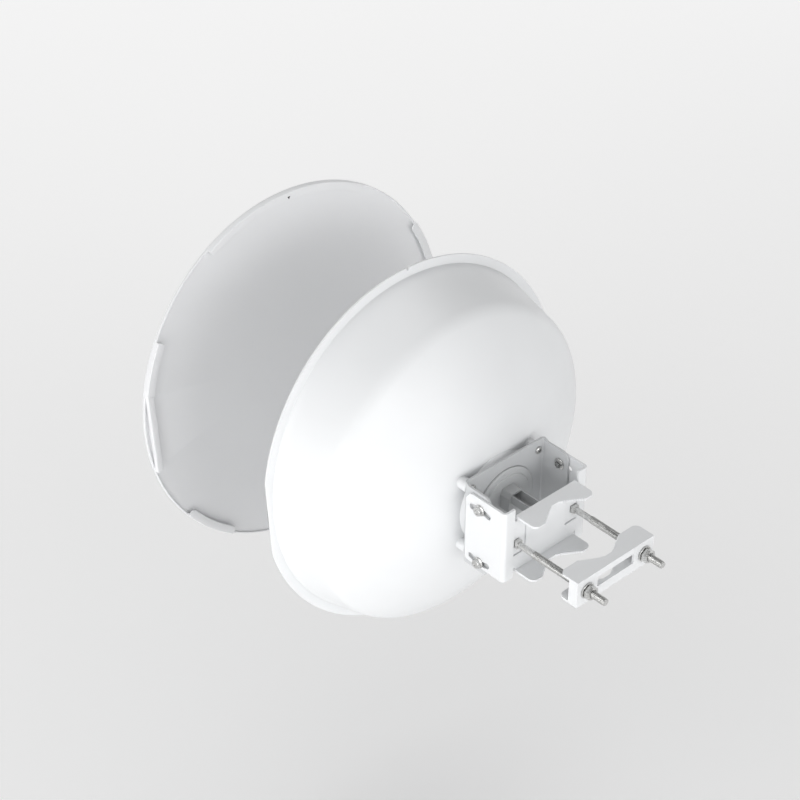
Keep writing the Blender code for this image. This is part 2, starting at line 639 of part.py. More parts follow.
# ---- feed and radio ---------------------------------------------------------------------------
def make_feed(dish):
    axis = about_y(0.0, 0.0)
    shell = [
        (0.0362, -0.0990), (0.0362, -0.1046), (0.0440, -0.1046), (0.0440, -0.1075), (0.0372, -0.1075),
        (0.0372, -0.1310), (0.0355, -0.1330), (0.0185, -0.1480), (0.0160, -0.1520), (0.0160, -0.2050),
        (0.0135, -0.2050), (0.0135, -0.1520), (0.0165, -0.1465), (0.0335, -0.1305), (0.0335, -0.0990)]
    add_part("feed_housing", turned(shell, axis, 40, closed=True), dish, WHITE_PLASTIC, 0.5)

    gasket = [(0.0375, -0.1024), (0.0435, -0.1024), (0.0435, -0.1042), (0.0375, -0.1042)]
    add_part("hub_gasket", turned(gasket, axis, 40, closed=True), dish, (0.05, 0.05, 0.05), 0.8)

    cap = [(0.0, -0.2053), (0.0125, -0.2053), (0.0160, -0.2056), (0.0160, -0.2075), (0.0110, -0.2100),
           (0.0, -0.2100)]
    add_part("feed_spacer", turned(cap, axis, 32), dish, (0.80, 0.78, 0.72), 0.6)
    splash = [(0.0, -0.2103), (0.0100, -0.2103), (0.0280, -0.2130), (0.0285, -0.2142), (0.0280, -0.2152),
              (0.0, -0.2152)]
    add_part("sub_reflector", turned(splash, axis, 40), dish, ZINC, 0.3, 0.9)

    board = prism(polygon(0.0325, 32), -0.1200, -0.1184, axis)
    add_part("radio_board", board, dish, (0.02, 0.16, 0.08), 0.5)
    shield = prism(rounded([(-0.017, -0.022, 0.002), (0.017, -0.022, 0.002), (0.017, 0.014, 0.002),
                            (-0.017, 0.014, 0.002)], 2), -0.1250, -0.1203, axis)
    add_part("rf_shield", shield, dish, ZINC, 0.4, 0.9)
    probe = [(0.0, -0.1253), (0.0050, -0.1253), (0.0050, -0.1290), (0.0030, -0.1300), (0.0030, -0.2000),
             (0.0, -0.2010)]
    add_part("feed_probe", turned(probe, axis, 16), dish, (0.72, 0.55, 0.30), 0.3, 0.9)

    jack = add_part("ethernet_jack", prism(rectangle(-0.0080, 0.0075, 0.0080, 0.0210), -0.1181, -0.0990,
                                           axis), dish,
                    ZINC, 0.4, 0.9)
    boolean(jack, "DIFFERENCE", prism(rectangle(-0.0060, 0.0101, 0.0060, 0.0183), -0.1110, -0.0980, axis),
            "socket")


def make_rear_hub(dish):
    axis = about_y(0.0, 0.0)
    disc = [(0.0, -0.0987), (HUB_R, -0.0987), (HUB_R, -0.0950), (0.0380, -0.0942), (0.0330, -0.0942),
            (0.0322, -0.0928), (0.0, -0.0920)]
    hub = add_part("rear_hub", turned(disc, axis, 48), dish, WHITE_PLASTIC, 0.5)
    collar = rounded([(-0.0105, -0.0020, 0.002), (0.0105, -0.0020, 0.002), (0.0105, 0.0160, 0.0),
                      (0.0068, 0.0215, 0.0), (-0.0068, 0.0215, 0.0), (-0.0105, 0.0160, 0.0)], 3)
    boolean(hub, "UNION", prism(collar, -0.0945, CHANNEL_ROOT_Y - GAP, axis), "collar")
    port = prism(rectangle(-0.0060, 0.0101, 0.0060, 0.0190), -0.1000, -0.0780, axis)
    boolean(hub, "DIFFERENCE", port, "cable_port")
    small = turned([(0, -0.1), (0.0024, -0.1), (0.0024, -0.09), (0, -0.09)], about_y(0.0200, -0.0120), 14)
    turned([(0, -0.1), (0.0018, -0.1), (0.0018, -0.09), (0, -0.09)], about_y(-0.0200, -0.0120), 14,
           shape=small)
    boolean(hub, "DIFFERENCE", small, "button_and_light_holes")

    channel = sheet_outline([(-0.0072, 0.0200), (-0.0072, 0.0085), (0.0072, 0.0085), (0.0072, 0.0200)],
                            0.0012, 0.0020, 2)
    add_part("cable_channel", prism(channel, CHANNEL_ROOT_Y, -0.0500, axis), dish, WHITE_PLASTIC, 0.5)


def make_button_and_light(dish, button):
    press = [(0.0, -0.1008), (0.0033, -0.1008), (0.0033, -0.0990), (0.0020, -0.0990), (0.0020, -0.0917),
             (0.0, -0.0915)]
    add_part("reset_button", turned(press, about_y(0.0200, -0.0120), 14), button, (0.10, 0.10, 0.11), 0.5)
    pipe = [(0.0, -0.1000), (0.0014, -0.1000), (0.0014, -0.0918), (0.0, -0.0916)]
    add_part("status_light", turned(pipe, about_y(-0.0200, -0.0120), 12), dish, (0.75, 0.85, 0.95), 0.2)


def make_ground_screw(dish):
    tip = INNER_BACK_Y - SHEET_T
    profile = [(0.0, tip), (0.0019, tip), (0.0019, INNER_BACK_Y + GAP), (0.0040, INNER_BACK_Y + GAP),
               (0.0040, INNER_BACK_Y + 0.0025), (0.0, INNER_BACK_Y + 0.0028)]
    add_part("ground_screw", turned(profile, about_y(0.0, GROUND_Z), 14), dish, ZINC, 0.35, 0.9)


def main():
    clear_scene()
    root = make_body("pole_side", (0.0, 0.0, 0.0))
    clamp = make_body("clamp_slide", (0.0, CLAMP_WEB_Y, BOLT_Z))
    dish = make_body("tilt_axis", (0.0, TILT_Y, 0.0))
    radome = make_body("radome_slide", on_radome(0.0, 0.0, 0.0))
    button = make_body("button_slide", (0.0200, -0.0950, -0.0120))
    make_pole_bracket(root)
    make_carriage_bolts(root)
    make_clamp(clamp)
    make_dish_bracket(dish)
    make_bracket_screws(dish)
    make_tilt_fasteners(dish)
    make_reflector(dish)
    make_rim_seal(dish)
    make_feed(dish)
    make_rear_hub(dish)
    make_button_and_light(dish, button)
    make_ground_screw(dish)
    make_radome(radome)


main()
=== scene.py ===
"""Looks of the outdoor wireless bridge: fine meshes, materials, light and camera.

Every length is in metres, in the CAD model's own frame: the origin is on the pole's axis at the
height of the tilt axis, the dish looks along -Y, and the pole clamp is at +Y.
"""

from math import copysign, cos, degrees, dist, hypot, pi, radians, sin, sqrt, tan

import bmesh
import bpy
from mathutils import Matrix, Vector


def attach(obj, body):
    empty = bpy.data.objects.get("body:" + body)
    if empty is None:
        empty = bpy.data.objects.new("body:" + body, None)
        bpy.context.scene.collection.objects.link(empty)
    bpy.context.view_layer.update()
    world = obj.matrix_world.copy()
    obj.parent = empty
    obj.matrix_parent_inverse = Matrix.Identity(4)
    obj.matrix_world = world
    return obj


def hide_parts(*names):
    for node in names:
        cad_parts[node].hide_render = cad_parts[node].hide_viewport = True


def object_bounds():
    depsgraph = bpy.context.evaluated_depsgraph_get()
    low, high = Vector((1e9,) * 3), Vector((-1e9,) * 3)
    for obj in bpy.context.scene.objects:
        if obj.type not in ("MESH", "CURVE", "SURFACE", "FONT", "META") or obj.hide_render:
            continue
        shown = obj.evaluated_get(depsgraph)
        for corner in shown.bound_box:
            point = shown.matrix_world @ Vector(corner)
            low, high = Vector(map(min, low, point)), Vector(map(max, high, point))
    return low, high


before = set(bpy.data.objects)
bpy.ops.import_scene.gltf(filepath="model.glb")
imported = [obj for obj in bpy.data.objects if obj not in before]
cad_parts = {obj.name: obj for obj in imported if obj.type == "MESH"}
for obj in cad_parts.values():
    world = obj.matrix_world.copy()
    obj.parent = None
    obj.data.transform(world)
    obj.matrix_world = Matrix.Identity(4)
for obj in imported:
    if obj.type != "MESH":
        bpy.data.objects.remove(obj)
cad_low, cad_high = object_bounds()

# ---- dish and radome ----
RIM_CENTRE = Vector((0.0, -0.2276, 0.0059))  # middle of the mouth, on the rear face of its flange
MOUTH_TILT = radians(4.33)  # the mouth faces slightly down, to shed rain
RIM_R = 0.2065
CHORD_X = 0.2018  # the rim is cut straight at both sides
THROAT_R = 0.1966  # shroud wall where it meets the flange
FLANGE_T = 0.0025
SHELL_T = 0.0020
CREASE_R = 0.1825  # shroud meets bowl
CREASE_Y = -0.1690
CREASE_Z = 0.0033
BOWL_APEX_Y = -0.1021
BOWL_DEPTH = BOWL_APEX_Y - CREASE_Y  # paraboloid, focal length about 125 mm
PAD_R = 0.0480  # flat seat for the bracket
PAD_Y = -0.0994
HUB_HOLE_R = 0.0370
NOTCH_W = 0.0058
NOTCH_DEPTH = 0.0040
RING_SEGMENTS = 216

RADOME_R = 0.2104
RADOME_PULL = 0.1934  # how far the radome is drawn off along -Y
RADOME_SEAT = -0.0022  # its rim plane from the flange's rear face, seated
RADOME_LIP_H = 0.0020
RADOME_LIP_W = 0.0018
RADOME_T = 0.0030
CLIP_H = 0.0045
CLIP_HOOK_T = 0.0020
CLIP_WALL_T = 0.0020
CLIP_INNER_R = 0.2010
CLIP_CHORD_X = 0.1970
CLIP_CHORD_WALL_X = 0.2046
CLIP_CHORD_HALF = 0.0470
CLIP_CORNER = 0.0035  # rounding at the ends of a hook
CLIP_ARCS = ((60.0, 120.5), (-56.0, -35.0), (-145.0, -124.0))  # degrees round the rim
SIDE_CLIP_ANGLES = (30.0, 13.2)  # its arc, before it runs down the straight side
MARK_ANGLE = 91.0

# ---- bracket ----
SHEET_T = 0.0025
BEND_R = 0.0045  # outside radius of the bends
OUTER_HALF_X = 0.0590
OUTER_FRONT_Y = -0.0926
PLATE_Y = -0.0376  # rear face of the pole bracket
OUTER_TOP_Z = 0.0474
OUTER_BOTTOM_Z = -0.0396
JAW_TOP_Z = 0.0371
JAW_BOTTOM_Z = -0.0336
JAW_HALF_X = 0.0420
JAW_TIP_Y = -0.0121
JAW_ROOT_Y = -0.0269  # bottom of the V
JAW_CORNER_R = 0.0070
VEE_FLAT_HALF = 0.0050
VEE_TIP_X = 0.0285
TEETH = 9
TOOTH_H = 0.0021
VEE_PLAIN = 0.16  # share of each flank left without teeth
RELIEF_X = 0.0448
POCKET_INNER_X = 0.0280  # shallow pockets round the carriage bolts
POCKET_OUTER_X = 0.0453
POCKET_LOW_Z = -0.0124
POCKET_HIGH_Z = 0.0235
POCKET_DEPTH = 0.0015
GROOVE = 0.0006  # along the edges of the pockets' floors

TILT_Y = -0.0725  # tilt axis, along X at z = 0
TILT_BOLT_R = 0.0336  # bolts sit above and below the axis
TILT_NUT_H = 0.0026
TILT_BOLT_TIP_X = 0.0506
TILT_THREAD_R = 0.0030
TILT_PITCH = 0.0010
TILT_HOLE_R = 0.0033
SLOT_HALF_ANGLE = radians(20.0)
SLOT_W = 0.0068

INNER_HALF_X = 0.0562
INNER_BACK_Y = -0.0966  # rear face of the back plate
INNER_ARM_END_Y = -0.0611
INNER_TOP_Z = 0.0534
INNER_ARM_TOP_Z = 0.0508
INNER_BOTTOM_Z = -0.0481
SCREW_X = 0.0470
SCREW_Z = (0.0410, -0.0370)
GROUND_Z = -0.0441
BOSS_R = 0.0070
SCREW_HOLE_R = 0.0024
GROUND_HOLE_R = 0.0022

# ---- pole clamp ----
BOLT_X = 0.04075
BOLT_Z = 0.0027
BOLT_R = 0.0040
BOLT_PITCH = 0.00125
BOLT_TIP_Y = 0.0824
THREAD_START_Y = -0.0146
CLAMP_WEB_Y = 0.0574  # rear face of the clamp's web, opened
CLAMP_HALF_X = 0.0542
CLAMP_TOP_Z = 0.0182
CLAMP_BOTTOM_Z = -0.0128
CLAMP_TIP_Y = 0.0331
CLAMP_BEND_R = 0.0035
CLAMP_VEE_Y = 0.0464
WASHER_R = 0.0085
WASHER_T = 0.0016
NUT_H = 0.0065

# ---- feed and radio ----
HUB_R = 0.0398
CHANNEL_ROOT_Y = -0.0793
BUTTON_X = 0.0200  # the status light sits at the same place on the other side
BUTTON_Z = -0.0120
GAP = 0.0003  # between pieces that meet

# ---- camera and light ----
CAMERA_PLACE = (1.1684, 1.0290, 1.2948)
CAMERA_TURN = (54.185, 0.0, 137.697)  # degrees
CAMERA_LENS = 91.25  # millimetres on a 36 mm sensor
FLOOR_DROP = 0.35  # the floor lies below the object
STUDIO_GLOW = 0.77  # even light of the studio's walls
STUDIO_LEAN = (0.30, 0.22, -0.60)  # how much brighter the walls are towards +X, +Y and +Z
LAMPS = (  # name, place, size and watts
    ("key", (2.3, 0.2, 0.25), (1.6, 1.2), 20.5),
    ("fill", (0.2, 2.3, 0.7), (1.6, 1.0), 17.0),
    ("top", (-0.6, -1.4, 2.0), (1.4, 1.4), 19.0))
LAMP_TARGET = (0.0, -0.18, 0.0)
FLOOR_SIZE = 14.0
FLOOR_Y = -0.2
FLOOR_GLOW = (0.07, 0.80)  # the floor's own light at its middle and at FLOOR_REACH
FLOOR_REACH = 4.6

# ---- ways of placing a section (u, v) with a depth w ----
def facing_y(u, v, w):
    return Vector((u, w, v))


def facing_x(u, v, w):
    return Vector((w, u, v))


def facing_z(u, v, w):
    return Vector((u, v, w))


def about_y(x, z):
    """Turned about a line along Y through (x, z)."""
    return lambda u, v, w: Vector((x + u, w, z + v))


def about_x(y, z):
    """Turned about a line along X through (y, z)."""
    return lambda u, v, w: Vector((w, y + u, z + v))


def measured(place, start, sign):
    """The same placement with its depth counted from start, along the given sign."""
    return lambda u, v, w: place(u, v, start + sign * w)


def on_mouth(u, v, w, shift=0.0):
    """In the plane of the dish's mouth: u along X, v up the plane, w towards the rear."""
    c, s = cos(MOUTH_TILT), sin(MOUTH_TILT)
    return RIM_CENTRE + Vector((u, w * c - v * s + shift, w * s + v * c))


def on_radome(u, v, w):
    """The radome keeps the mouth's tilt and is drawn off along -Y."""
    return on_mouth(u, v, w + RADOME_SEAT, -RADOME_PULL)


# ---- outlines ----
def arc(cu, cv, radius, start, end, steps):
    """Points on an arc, angles in degrees."""
    points = []
    for i in range(steps + 1):
        angle = radians(start + (end - start) * i / steps)
        points.append((cu + radius * cos(angle), cv + radius * sin(angle)))
    return points


def polygon(radius, sides, turn=0.0):
    return arc(0.0, 0.0, radius, turn, turn + 360.0 * (sides - 1) / sides, sides - 1)


def rectangle(u0, v0, u1, v1):
    return [(u0, v0), (u1, v0), (u1, v1), (u0, v1)]


def rounded(corners, steps, closed=True):
    """Round the corners of an outline given as (u, v, radius)."""
    result = []
    count = len(corners)
    for i, (u, v, radius) in enumerate(corners):
        if radius <= 0.0 or (not closed and i in (0, count - 1)):
            result.append((u, v))
            continue
        here = Vector((u, v))
        before = (Vector(corners[i - 1][:2]) - here).normalized()
        after = (Vector(corners[(i + 1) % count][:2]) - here).normalized()
        half = before.angle(after) / 2.0
        centre = here + (before + after).normalized() * (radius / sin(half))
        start = here + before * (radius / tan(half)) - centre
        end = here + after * (radius / tan(half)) - centre
        sweep = start.angle_signed(end)
        for k in range(steps + 1):
            turn = -sweep * k / steps
            c, s = cos(turn), sin(turn)
            result.append((centre.x + start.x * c - start.y * s, centre.y + start.x * s + start.y * c))
    return result


def rounded_box(u0, v0, u1, v1, radius, steps):
    return rounded([(u, v, radius) for u, v in rectangle(u0, v0, u1, v1)], steps)


def sheet_outline(corners, thickness, radius, steps):
    """Section of bent sheet: corners of the outer face, the sheet lies to their left."""
    outer = rounded([(u, v, radius) for u, v in corners], steps, closed=False)
    inner = []
    for i, (u, v) in enumerate(corners):
        here = Vector((u, v))
        sides = []
        if i > 0:
            sides.append((here - Vector(corners[i - 1])).normalized())
        if i < len(corners) - 1:
            sides.append((Vector(corners[i + 1]) - here).normalized())
        normals = [Vector((-d.y, d.x)) for d in sides]
        push = sum(normals, Vector((0.0, 0.0)))
        push = push / push.dot(normals[0]) * thickness
        inner.append((here.x + push.x, here.y + push.y, radius - thickness))
    return outer + list(reversed(rounded(inner, steps, closed=False)))


def vee_edge(tip_y, flat_y):
    """Toothed V from its right tip over the flat to its left tip; the V opens towards tip_y."""
    lift = copysign(TOOTH_H, tip_y - flat_y)
    flank = [(VEE_FLAT_HALF, flat_y)]
    for i in range(2 * TEETH + 1):
        t = VEE_PLAIN + (1.0 - VEE_PLAIN) * i / (2.0 * TEETH)
        u = VEE_FLAT_HALF + (VEE_TIP_X - VEE_FLAT_HALF) * t
        v = flat_y + (tip_y - flat_y) * t
        if i % 2:
            v -= lift
        flank.append((u, v))
    return list(reversed(flank)) + [(-u, v) for u, v in flank]


# ---- solids ----
def prism(outline, w0, w1, place, shape=None):
    """Extrude an outline from depth w0 to w1."""
    shape = shape or bmesh.new()
    near = [shape.verts.new(place(u, v, w0)) for u, v in outline]
    far = [shape.verts.new(place(u, v, w1)) for u, v in outline]
    shape.faces.new(near)
    shape.faces.new(list(reversed(far)))
    for i in range(len(outline)):
        j = (i + 1) % len(outline)
        shape.faces.new((near[j], near[i], far[i], far[j]))
    return shape


def bridge(shape, ring_a, ring_b):
    """Skin two rings, either of which may be a single point."""
    count = max(len(ring_a), len(ring_b))
    for i in range(count):
        j = (i + 1) % count
        if len(ring_a) == 1:
            shape.faces.new((ring_a[0], ring_b[j], ring_b[i]))
        elif len(ring_b) == 1:
            shape.faces.new((ring_a[i], ring_a[j], ring_b[0]))
        else:
            shape.faces.new((ring_a[i], ring_a[j], ring_b[j], ring_b[i]))


def turned(profile, place, segments, closed=False, shape=None):
    """Turn a profile of (radius, depth); a closed one is a ring, an open one ends on the axis."""
    shape = shape or bmesh.new()
    rings = []
    for radius, depth in profile:
        if radius < 1e-7:
            rings.append([shape.verts.new(place(0.0, 0.0, depth))])
            continue
        rings.append([shape.verts.new(place(u, v, depth)) for u, v in polygon(radius, segments)])
    for ring_a, ring_b in zip(rings, rings[1:]):
        bridge(shape, ring_a, ring_b)
    if closed:
        bridge(shape, rings[-1], rings[0])
    return shape


def cylinder(radius, low, high, place, segments, shape=None):
    return turned([(0.0, low), (radius, low), (radius, high), (0.0, high)], place, segments, shape=shape)


def skinned(rings):
    """A ring-shaped shell from closed rings of points, the last joined to the first."""
    shape = bmesh.new()
    loops = [[shape.verts.new(point) for point in ring] for ring in rings]
    for i, loop in enumerate(loops):
        bridge(shape, loop, loops[(i + 1) % len(loops)])
    return shape


def closed_tube(shape, loops):
    """Skin a row of loops and close both of its ends."""
    shape.faces.new(loops[0])
    shape.faces.new(list(reversed(loops[-1])))
    for loop_a, loop_b in zip(loops, loops[1:]):
        bridge(shape, loop_a, loop_b)
    return shape


# ---- pieces ----
def new_object(name, data):
    item = bpy.data.objects.new(name, data)
    bpy.context.scene.collection.objects.link(item)
    return item


def mesh_object(name, shape):
    bmesh.ops.recalc_face_normals(shape, faces=shape.faces)
    mesh = bpy.data.meshes.new(name)
    shape.to_mesh(mesh)
    shape.free()
    return new_object(name, mesh)


def combine(item, operation, shape):
    """Cut, join or trim a piece by another solid, and keep the result as its mesh."""
    tool = mesh_object(item.name + "_tool", shape)
    modifier = item.modifiers.new("combine", "BOOLEAN")
    modifier.operation = operation
    modifier.solver = "EXACT"
    modifier.object = tool
    graph = bpy.context.evaluated_depsgraph_get()
    result = bpy.data.meshes.new_from_object(item.evaluated_get(graph))
    item.modifiers.clear()
    item.data = result
    bpy.data.objects.remove(tool, do_unlink=True)


def cut(item, shape):
    combine(item, "DIFFERENCE", shape)


def trim(item, shape):
    combine(item, "INTERSECT", shape)


def join(item, other):
    """Merge a second piece into the first."""
    shape = bmesh.new()
    shape.from_mesh(other.data)
    bpy.data.objects.remove(other, do_unlink=True)
    combine(item, "UNION", shape)


def round_edges(item, width, angle):
    bevel = item.modifiers.new("edges", "BEVEL")
    bevel.width = width
    bevel.segments = 2
    bevel.limit_method = "ANGLE"
    bevel.angle_limit = radians(angle)
    bevel.harden_normals = True
    return bevel


def finish_piece(item, body, surface, nodes, edge=0.0, angle=30.0):
    """Shade a piece, round its edges, give it its finish and let it ride on its body."""
    material, slot = surface
    mesh = item.data
    mesh.materials.clear()
    mesh.materials.append(material)
    for face in mesh.polygons:
        face.material_index = 0
    mesh.shade_smooth()
    mesh.set_sharp_from_angle(angle=radians(angle))
    if edge > 0.0:
        round_edges(item, edge, angle).miter_outer = "MITER_ARC"
    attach(item, body)
    if nodes:
        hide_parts(*nodes)


def lathe(name, corners, steps, place, segments, body, surface, nodes, closed=False):
    """A turned piece; with steps its corners are rounded, and a closed section makes a ring."""
    profile = rounded(corners, steps, closed) if steps else corners
    finish_piece(mesh_object(name, turned(profile, place, segments, closed)), body, surface, nodes)


def keep_node(name, surface):
    """A CAD node that stays, with a finish of its own and rounded edges."""
    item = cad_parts[name]
    item.data.materials.clear()
    item.data.materials.append(surface[0])
    round_edges(item, 0.0002, 40.0)


# ---- materials ----
class Finish:
    """A material under construction: a Principled shader and object coordinates."""

    def __init__(self, name, roughness, metallic=0.0):
        self.material = bpy.data.materials.new(name)
        self.material.use_nodes = True
        self.nodes = self.material.node_tree.nodes
        self.links = self.material.node_tree.links
        self.shader = self.nodes["Principled BSDF"]
        self.shader.inputs["Roughness"].default_value = roughness
        self.shader.inputs["Metallic"].default_value = metallic
        self.coordinates = self.nodes.new("ShaderNodeTexCoord").outputs["Object"]
        self.height = None

    def add(self, kind, values):
        """A new node with its sockets set."""
        node = self.nodes.new(kind)
        for socket, value in values.items():
            node.inputs[socket].default_value = value
        return node

    def stretched(self, x, y, z):
        mapping = self.add("ShaderNodeMapping", {"Scale": (x, y, z)})
        self.links.new(self.coordinates, mapping.inputs["Vector"])
        return mapping.outputs["Vector"]

    def noise(self, scale, detail, rough=0.5, vector=None):
        node = self.add("ShaderNodeTexNoise", {"Scale": scale, "Detail": detail, "Roughness": rough})
        self.links.new(vector or self.coordinates, node.inputs["Vector"])
        return node.outputs["Fac"]

    def rings(self, scale):
        node = self.add("ShaderNodeTexWave", {"Scale": scale, "Distortion": 0.6})
        node.wave_type = "RINGS"
        node.rings_direction = "Y"
        self.links.new(self.coordinates, node.inputs["Vector"])
        return node.outputs["Fac"]

    def between(self, factor, low, high, start=0.3, end=0.7):
        node = self.add("ShaderNodeMapRange", {"From Min": start, "From Max": end, "To Min": low,
                                               "To Max": high})
        self.links.new(factor, node.inputs["Value"])
        return node.outputs["Result"]

    def mix(self, factor, dark, light):
        node = self.nodes.new("ShaderNodeMix")
        node.data_type = "RGBA"
        self.links.new(factor, node.inputs["Factor"])
        for socket, value in (("A", dark), ("B", light)):
            target = [i for i in node.inputs if i.name == socket and i.type == "RGBA"][0]
            if isinstance(value, tuple):
                target.default_value = (*value, 1.0)
            else:
                self.links.new(value, target)
        return [o for o in node.outputs if o.type == "RGBA"][0]

    def colour(self, output):
        self.links.new(output, self.shader.inputs["Base Color"])

    def roughness(self, factor, low, high):
        self.links.new(self.between(factor, low, high), self.shader.inputs["Roughness"])

    def bump(self, factor, strength, distance):
        node = self.add("ShaderNodeBump", {"Strength": strength, "Distance": distance})
        self.links.new(factor, node.inputs["Height"])
        if self.height is not None:
            self.links.new(self.height, node.inputs["Normal"])
        self.height = node.outputs["Normal"]
        self.links.new(self.height, self.shader.inputs["Normal"])

    def painted_corner_shade(self, base, shade_colour, reach, amount):
        """Painted shade: darken inner corners a little by ambient occlusion, where shade falls."""
        node = self.add("ShaderNodeAmbientOcclusion", {"Distance": reach})
        node.samples = 4
        shade = self.between(node.outputs["AO"], amount, 0.0, 0.2, 0.9)
        return self.mix(shade, base, shade_colour)


def tinted(colour, factor):
    return tuple(min(1.0, c * factor) for c in colour)


def clouded(finish, noise, colour, dark, light):
    """The colour wandering between two shades of itself."""
    return finish.mix(finish.between(noise, 0.0, 1.0), tinted(colour, dark), tinted(colour, light))


def powder_coat(name, colour, roughness, peel):
    """White powder coat: orange peel about a millimetre across, faint clouding, painted shade in corners.
    """
    finish = Finish(name, roughness)
    cloud = clouded(finish, finish.noise(9.0, 3.0), colour, 0.975, 1.01)
    # painted shade: the paint colour is darkened in inner corners by ambient occlusion
    finish.colour(finish.painted_corner_shade(cloud, tinted(colour, 0.80), 0.006, 0.6))
    finish.roughness(finish.noise(60.0, 3.0), roughness - 0.05, roughness + 0.06)
    finish.bump(finish.noise(900.0, 2.0), peel, 0.00025)
    finish.bump(finish.noise(220.0, 1.0), peel * 0.5, 0.0006)
    finish.shader.inputs["Specular IOR Level"].default_value = 0.45
    return finish.material, name


def moulded_plastic(name, colour, roughness):
    """Moulded plastic: spark-eroded grain, slight flow clouding."""
    finish = Finish(name, roughness)
    cloud = clouded(finish, finish.noise(5.0, 2.0), colour, 0.982, 1.01)
    # painted shade: the plastic's colour is darkened in inner corners by ambient occlusion
    finish.colour(finish.painted_corner_shade(cloud, tinted(colour, 0.78), 0.004, 0.6))
    finish.roughness(finish.noise(30.0, 3.0), roughness - 0.05, roughness + 0.05)
    finish.bump(finish.noise(1400.0, 3.0, 0.6), 0.10, 0.0002)
    return finish.material, name


def plated_steel(name, colour, roughness):
    """Bright zinc: metal with cloudy patches, drawing marks along the part and tiny pits."""
    finish = Finish(name, roughness, 1.0)
    patches = clouded(finish, finish.noise(260.0, 4.0, 0.6), colour, 0.86, 1.08)
    # painted shade: the metal's colour is darkened to 0.4 in inner corners and thread roots by ambient
    # occlusion
    finish.colour(finish.painted_corner_shade(patches, tinted(colour, 0.4), 0.002, 0.8))
    finish.roughness(finish.noise(700.0, 3.0), roughness - 0.08, roughness + 0.12)
    finish.bump(finish.noise(1.0, 3.0, 0.6, finish.stretched(5200.0, 260.0, 5200.0)), 0.12, 0.00008)
    return finish.material, name


def turned_metal(name, colour, roughness, rings):
    """Lathe-turned or spun metal with fine rings about the Y axis."""
    finish = Finish(name, roughness, 1.0)
    marks = finish.rings(rings)
    finish.colour(finish.mix(marks, tinted(colour, 0.90), tinted(colour, 1.04)))
    finish.roughness(finish.noise(120.0, 3.0), roughness - 0.05, roughness + 0.10)
    finish.bump(marks, 0.10, 0.00006)
    return finish.material, name


def soft_black(name, colour, roughness, cell):
    """Foam or rubber with a fine open grain."""
    finish = Finish(name, roughness)
    grain = finish.noise(cell, 4.0, 0.7)
    finish.colour(clouded(finish, grain, colour, 0.6, 1.5))
    finish.bump(grain, 0.5, 0.0002)
    return finish.material, name


def circuit_board(name):
    """Green solder mask with copper areas faintly showing and a scatter of pads."""
    finish = Finish(name, 0.35)
    cells = finish.add("ShaderNodeTexVoronoi", {"Scale": 320.0})
    cells.distance = "CHEBYCHEV"
    finish.links.new(finish.coordinates, cells.inputs["Vector"])
    mask = finish.mix(finish.between(finish.noise(140.0, 1.0), 0.0, 1.0, 0.46, 0.50), (0.015, 0.13, 0.06),
                      (0.03, 0.20, 0.09))
    pads = finish.between(cells.outputs["Distance"], 1.0, 0.0, 0.10, 0.14)
    finish.colour(finish.mix(pads, mask, (0.75, 0.68, 0.45)))
    finish.bump(cells.outputs["Distance"], 0.2, 0.0001)
    return finish.material, name


def clear_plastic(name):
    finish = Finish(name, 0.12)
    finish.colour(finish.mix(finish.noise(300.0, 2.0), (0.70, 0.82, 0.92), (0.80, 0.90, 0.98)))
    finish.shader.inputs["Transmission Weight"].default_value = 0.7
    finish.shader.inputs["IOR"].default_value = 1.49
    finish.bump(finish.noise(500.0, 1.0), 0.05, 0.0001)
    return finish.material, name


# each finish below is a pair, the material and the name of its slot
BRACKET_WHITE = (0.79, 0.80, 0.81)
DISH_WHITE = (0.80, 0.81, 0.82)
# the dish bracket wears the pole bracket's white paint; this darker copy is painted shade for the inside of
# its hollow
SHADED_BRACKET_WHITE = (0.57, 0.58, 0.59)
# the hub's plastic is light grey, toned darker here as painted shade for the hollow of the bracket; the
# feed and cable channel share it
HUB_GREY_WITH_SHADE = (0.56, 0.57, 0.575)
RADOME_GREY = (0.80, 0.805, 0.815)

bracket_paint = powder_coat("bracket_paint", BRACKET_WHITE, 0.42, 0.12)
shaded_bracket_paint = (powder_coat("bracket_paint_in_shade", SHADED_BRACKET_WHITE, 0.45, 0.12)[0], "bracket_paint")
dish_paint = powder_coat("dish_paint", DISH_WHITE, 0.40, 0.07)
zinc = plated_steel("zinc_plate", (0.64, 0.64, 0.63), 0.27)
shaded_hub_plastic = moulded_plastic("white_plastic", HUB_GREY_WITH_SHADE, 0.48)
radome_plastic = moulded_plastic("radome_plastic", RADOME_GREY, 0.50)
natural_plastic = moulded_plastic("natural_plastic", (0.78, 0.75, 0.68), 0.45)
dark_plastic = moulded_plastic("dark_plastic", (0.045, 0.045, 0.05), 0.5)
aluminium = turned_metal("spun_aluminium", (0.80, 0.80, 0.81), 0.30, 900.0)
brass = turned_metal("bare_brass", (0.78, 0.58, 0.30), 0.25, 1500.0)
tin = plated_steel("tinned_steel", (0.72, 0.72, 0.72), 0.30)
foam = soft_black("black_foam", (0.05, 0.05, 0.05), 0.95, 1500.0)
rubber = soft_black("black_rubber", (0.03, 0.03, 0.03), 0.70, 3000.0)
board_green = circuit_board("circuit_board")
lens = clear_plastic("clear_lens")

# ---- dish ----
def bowl_y(radius, inset):
    return BOWL_APEX_Y - inset - BOWL_DEPTH * (radius / CREASE_R) ** 2


def bowl_ring(radius, y):
    """A ring of the bowl; its centre drifts up to the crease's centre with the radius."""
    z = CREASE_Z * radius / CREASE_R
    return [Vector((u, y, z + v)) for u, v in polygon(radius, RING_SEGMENTS)]


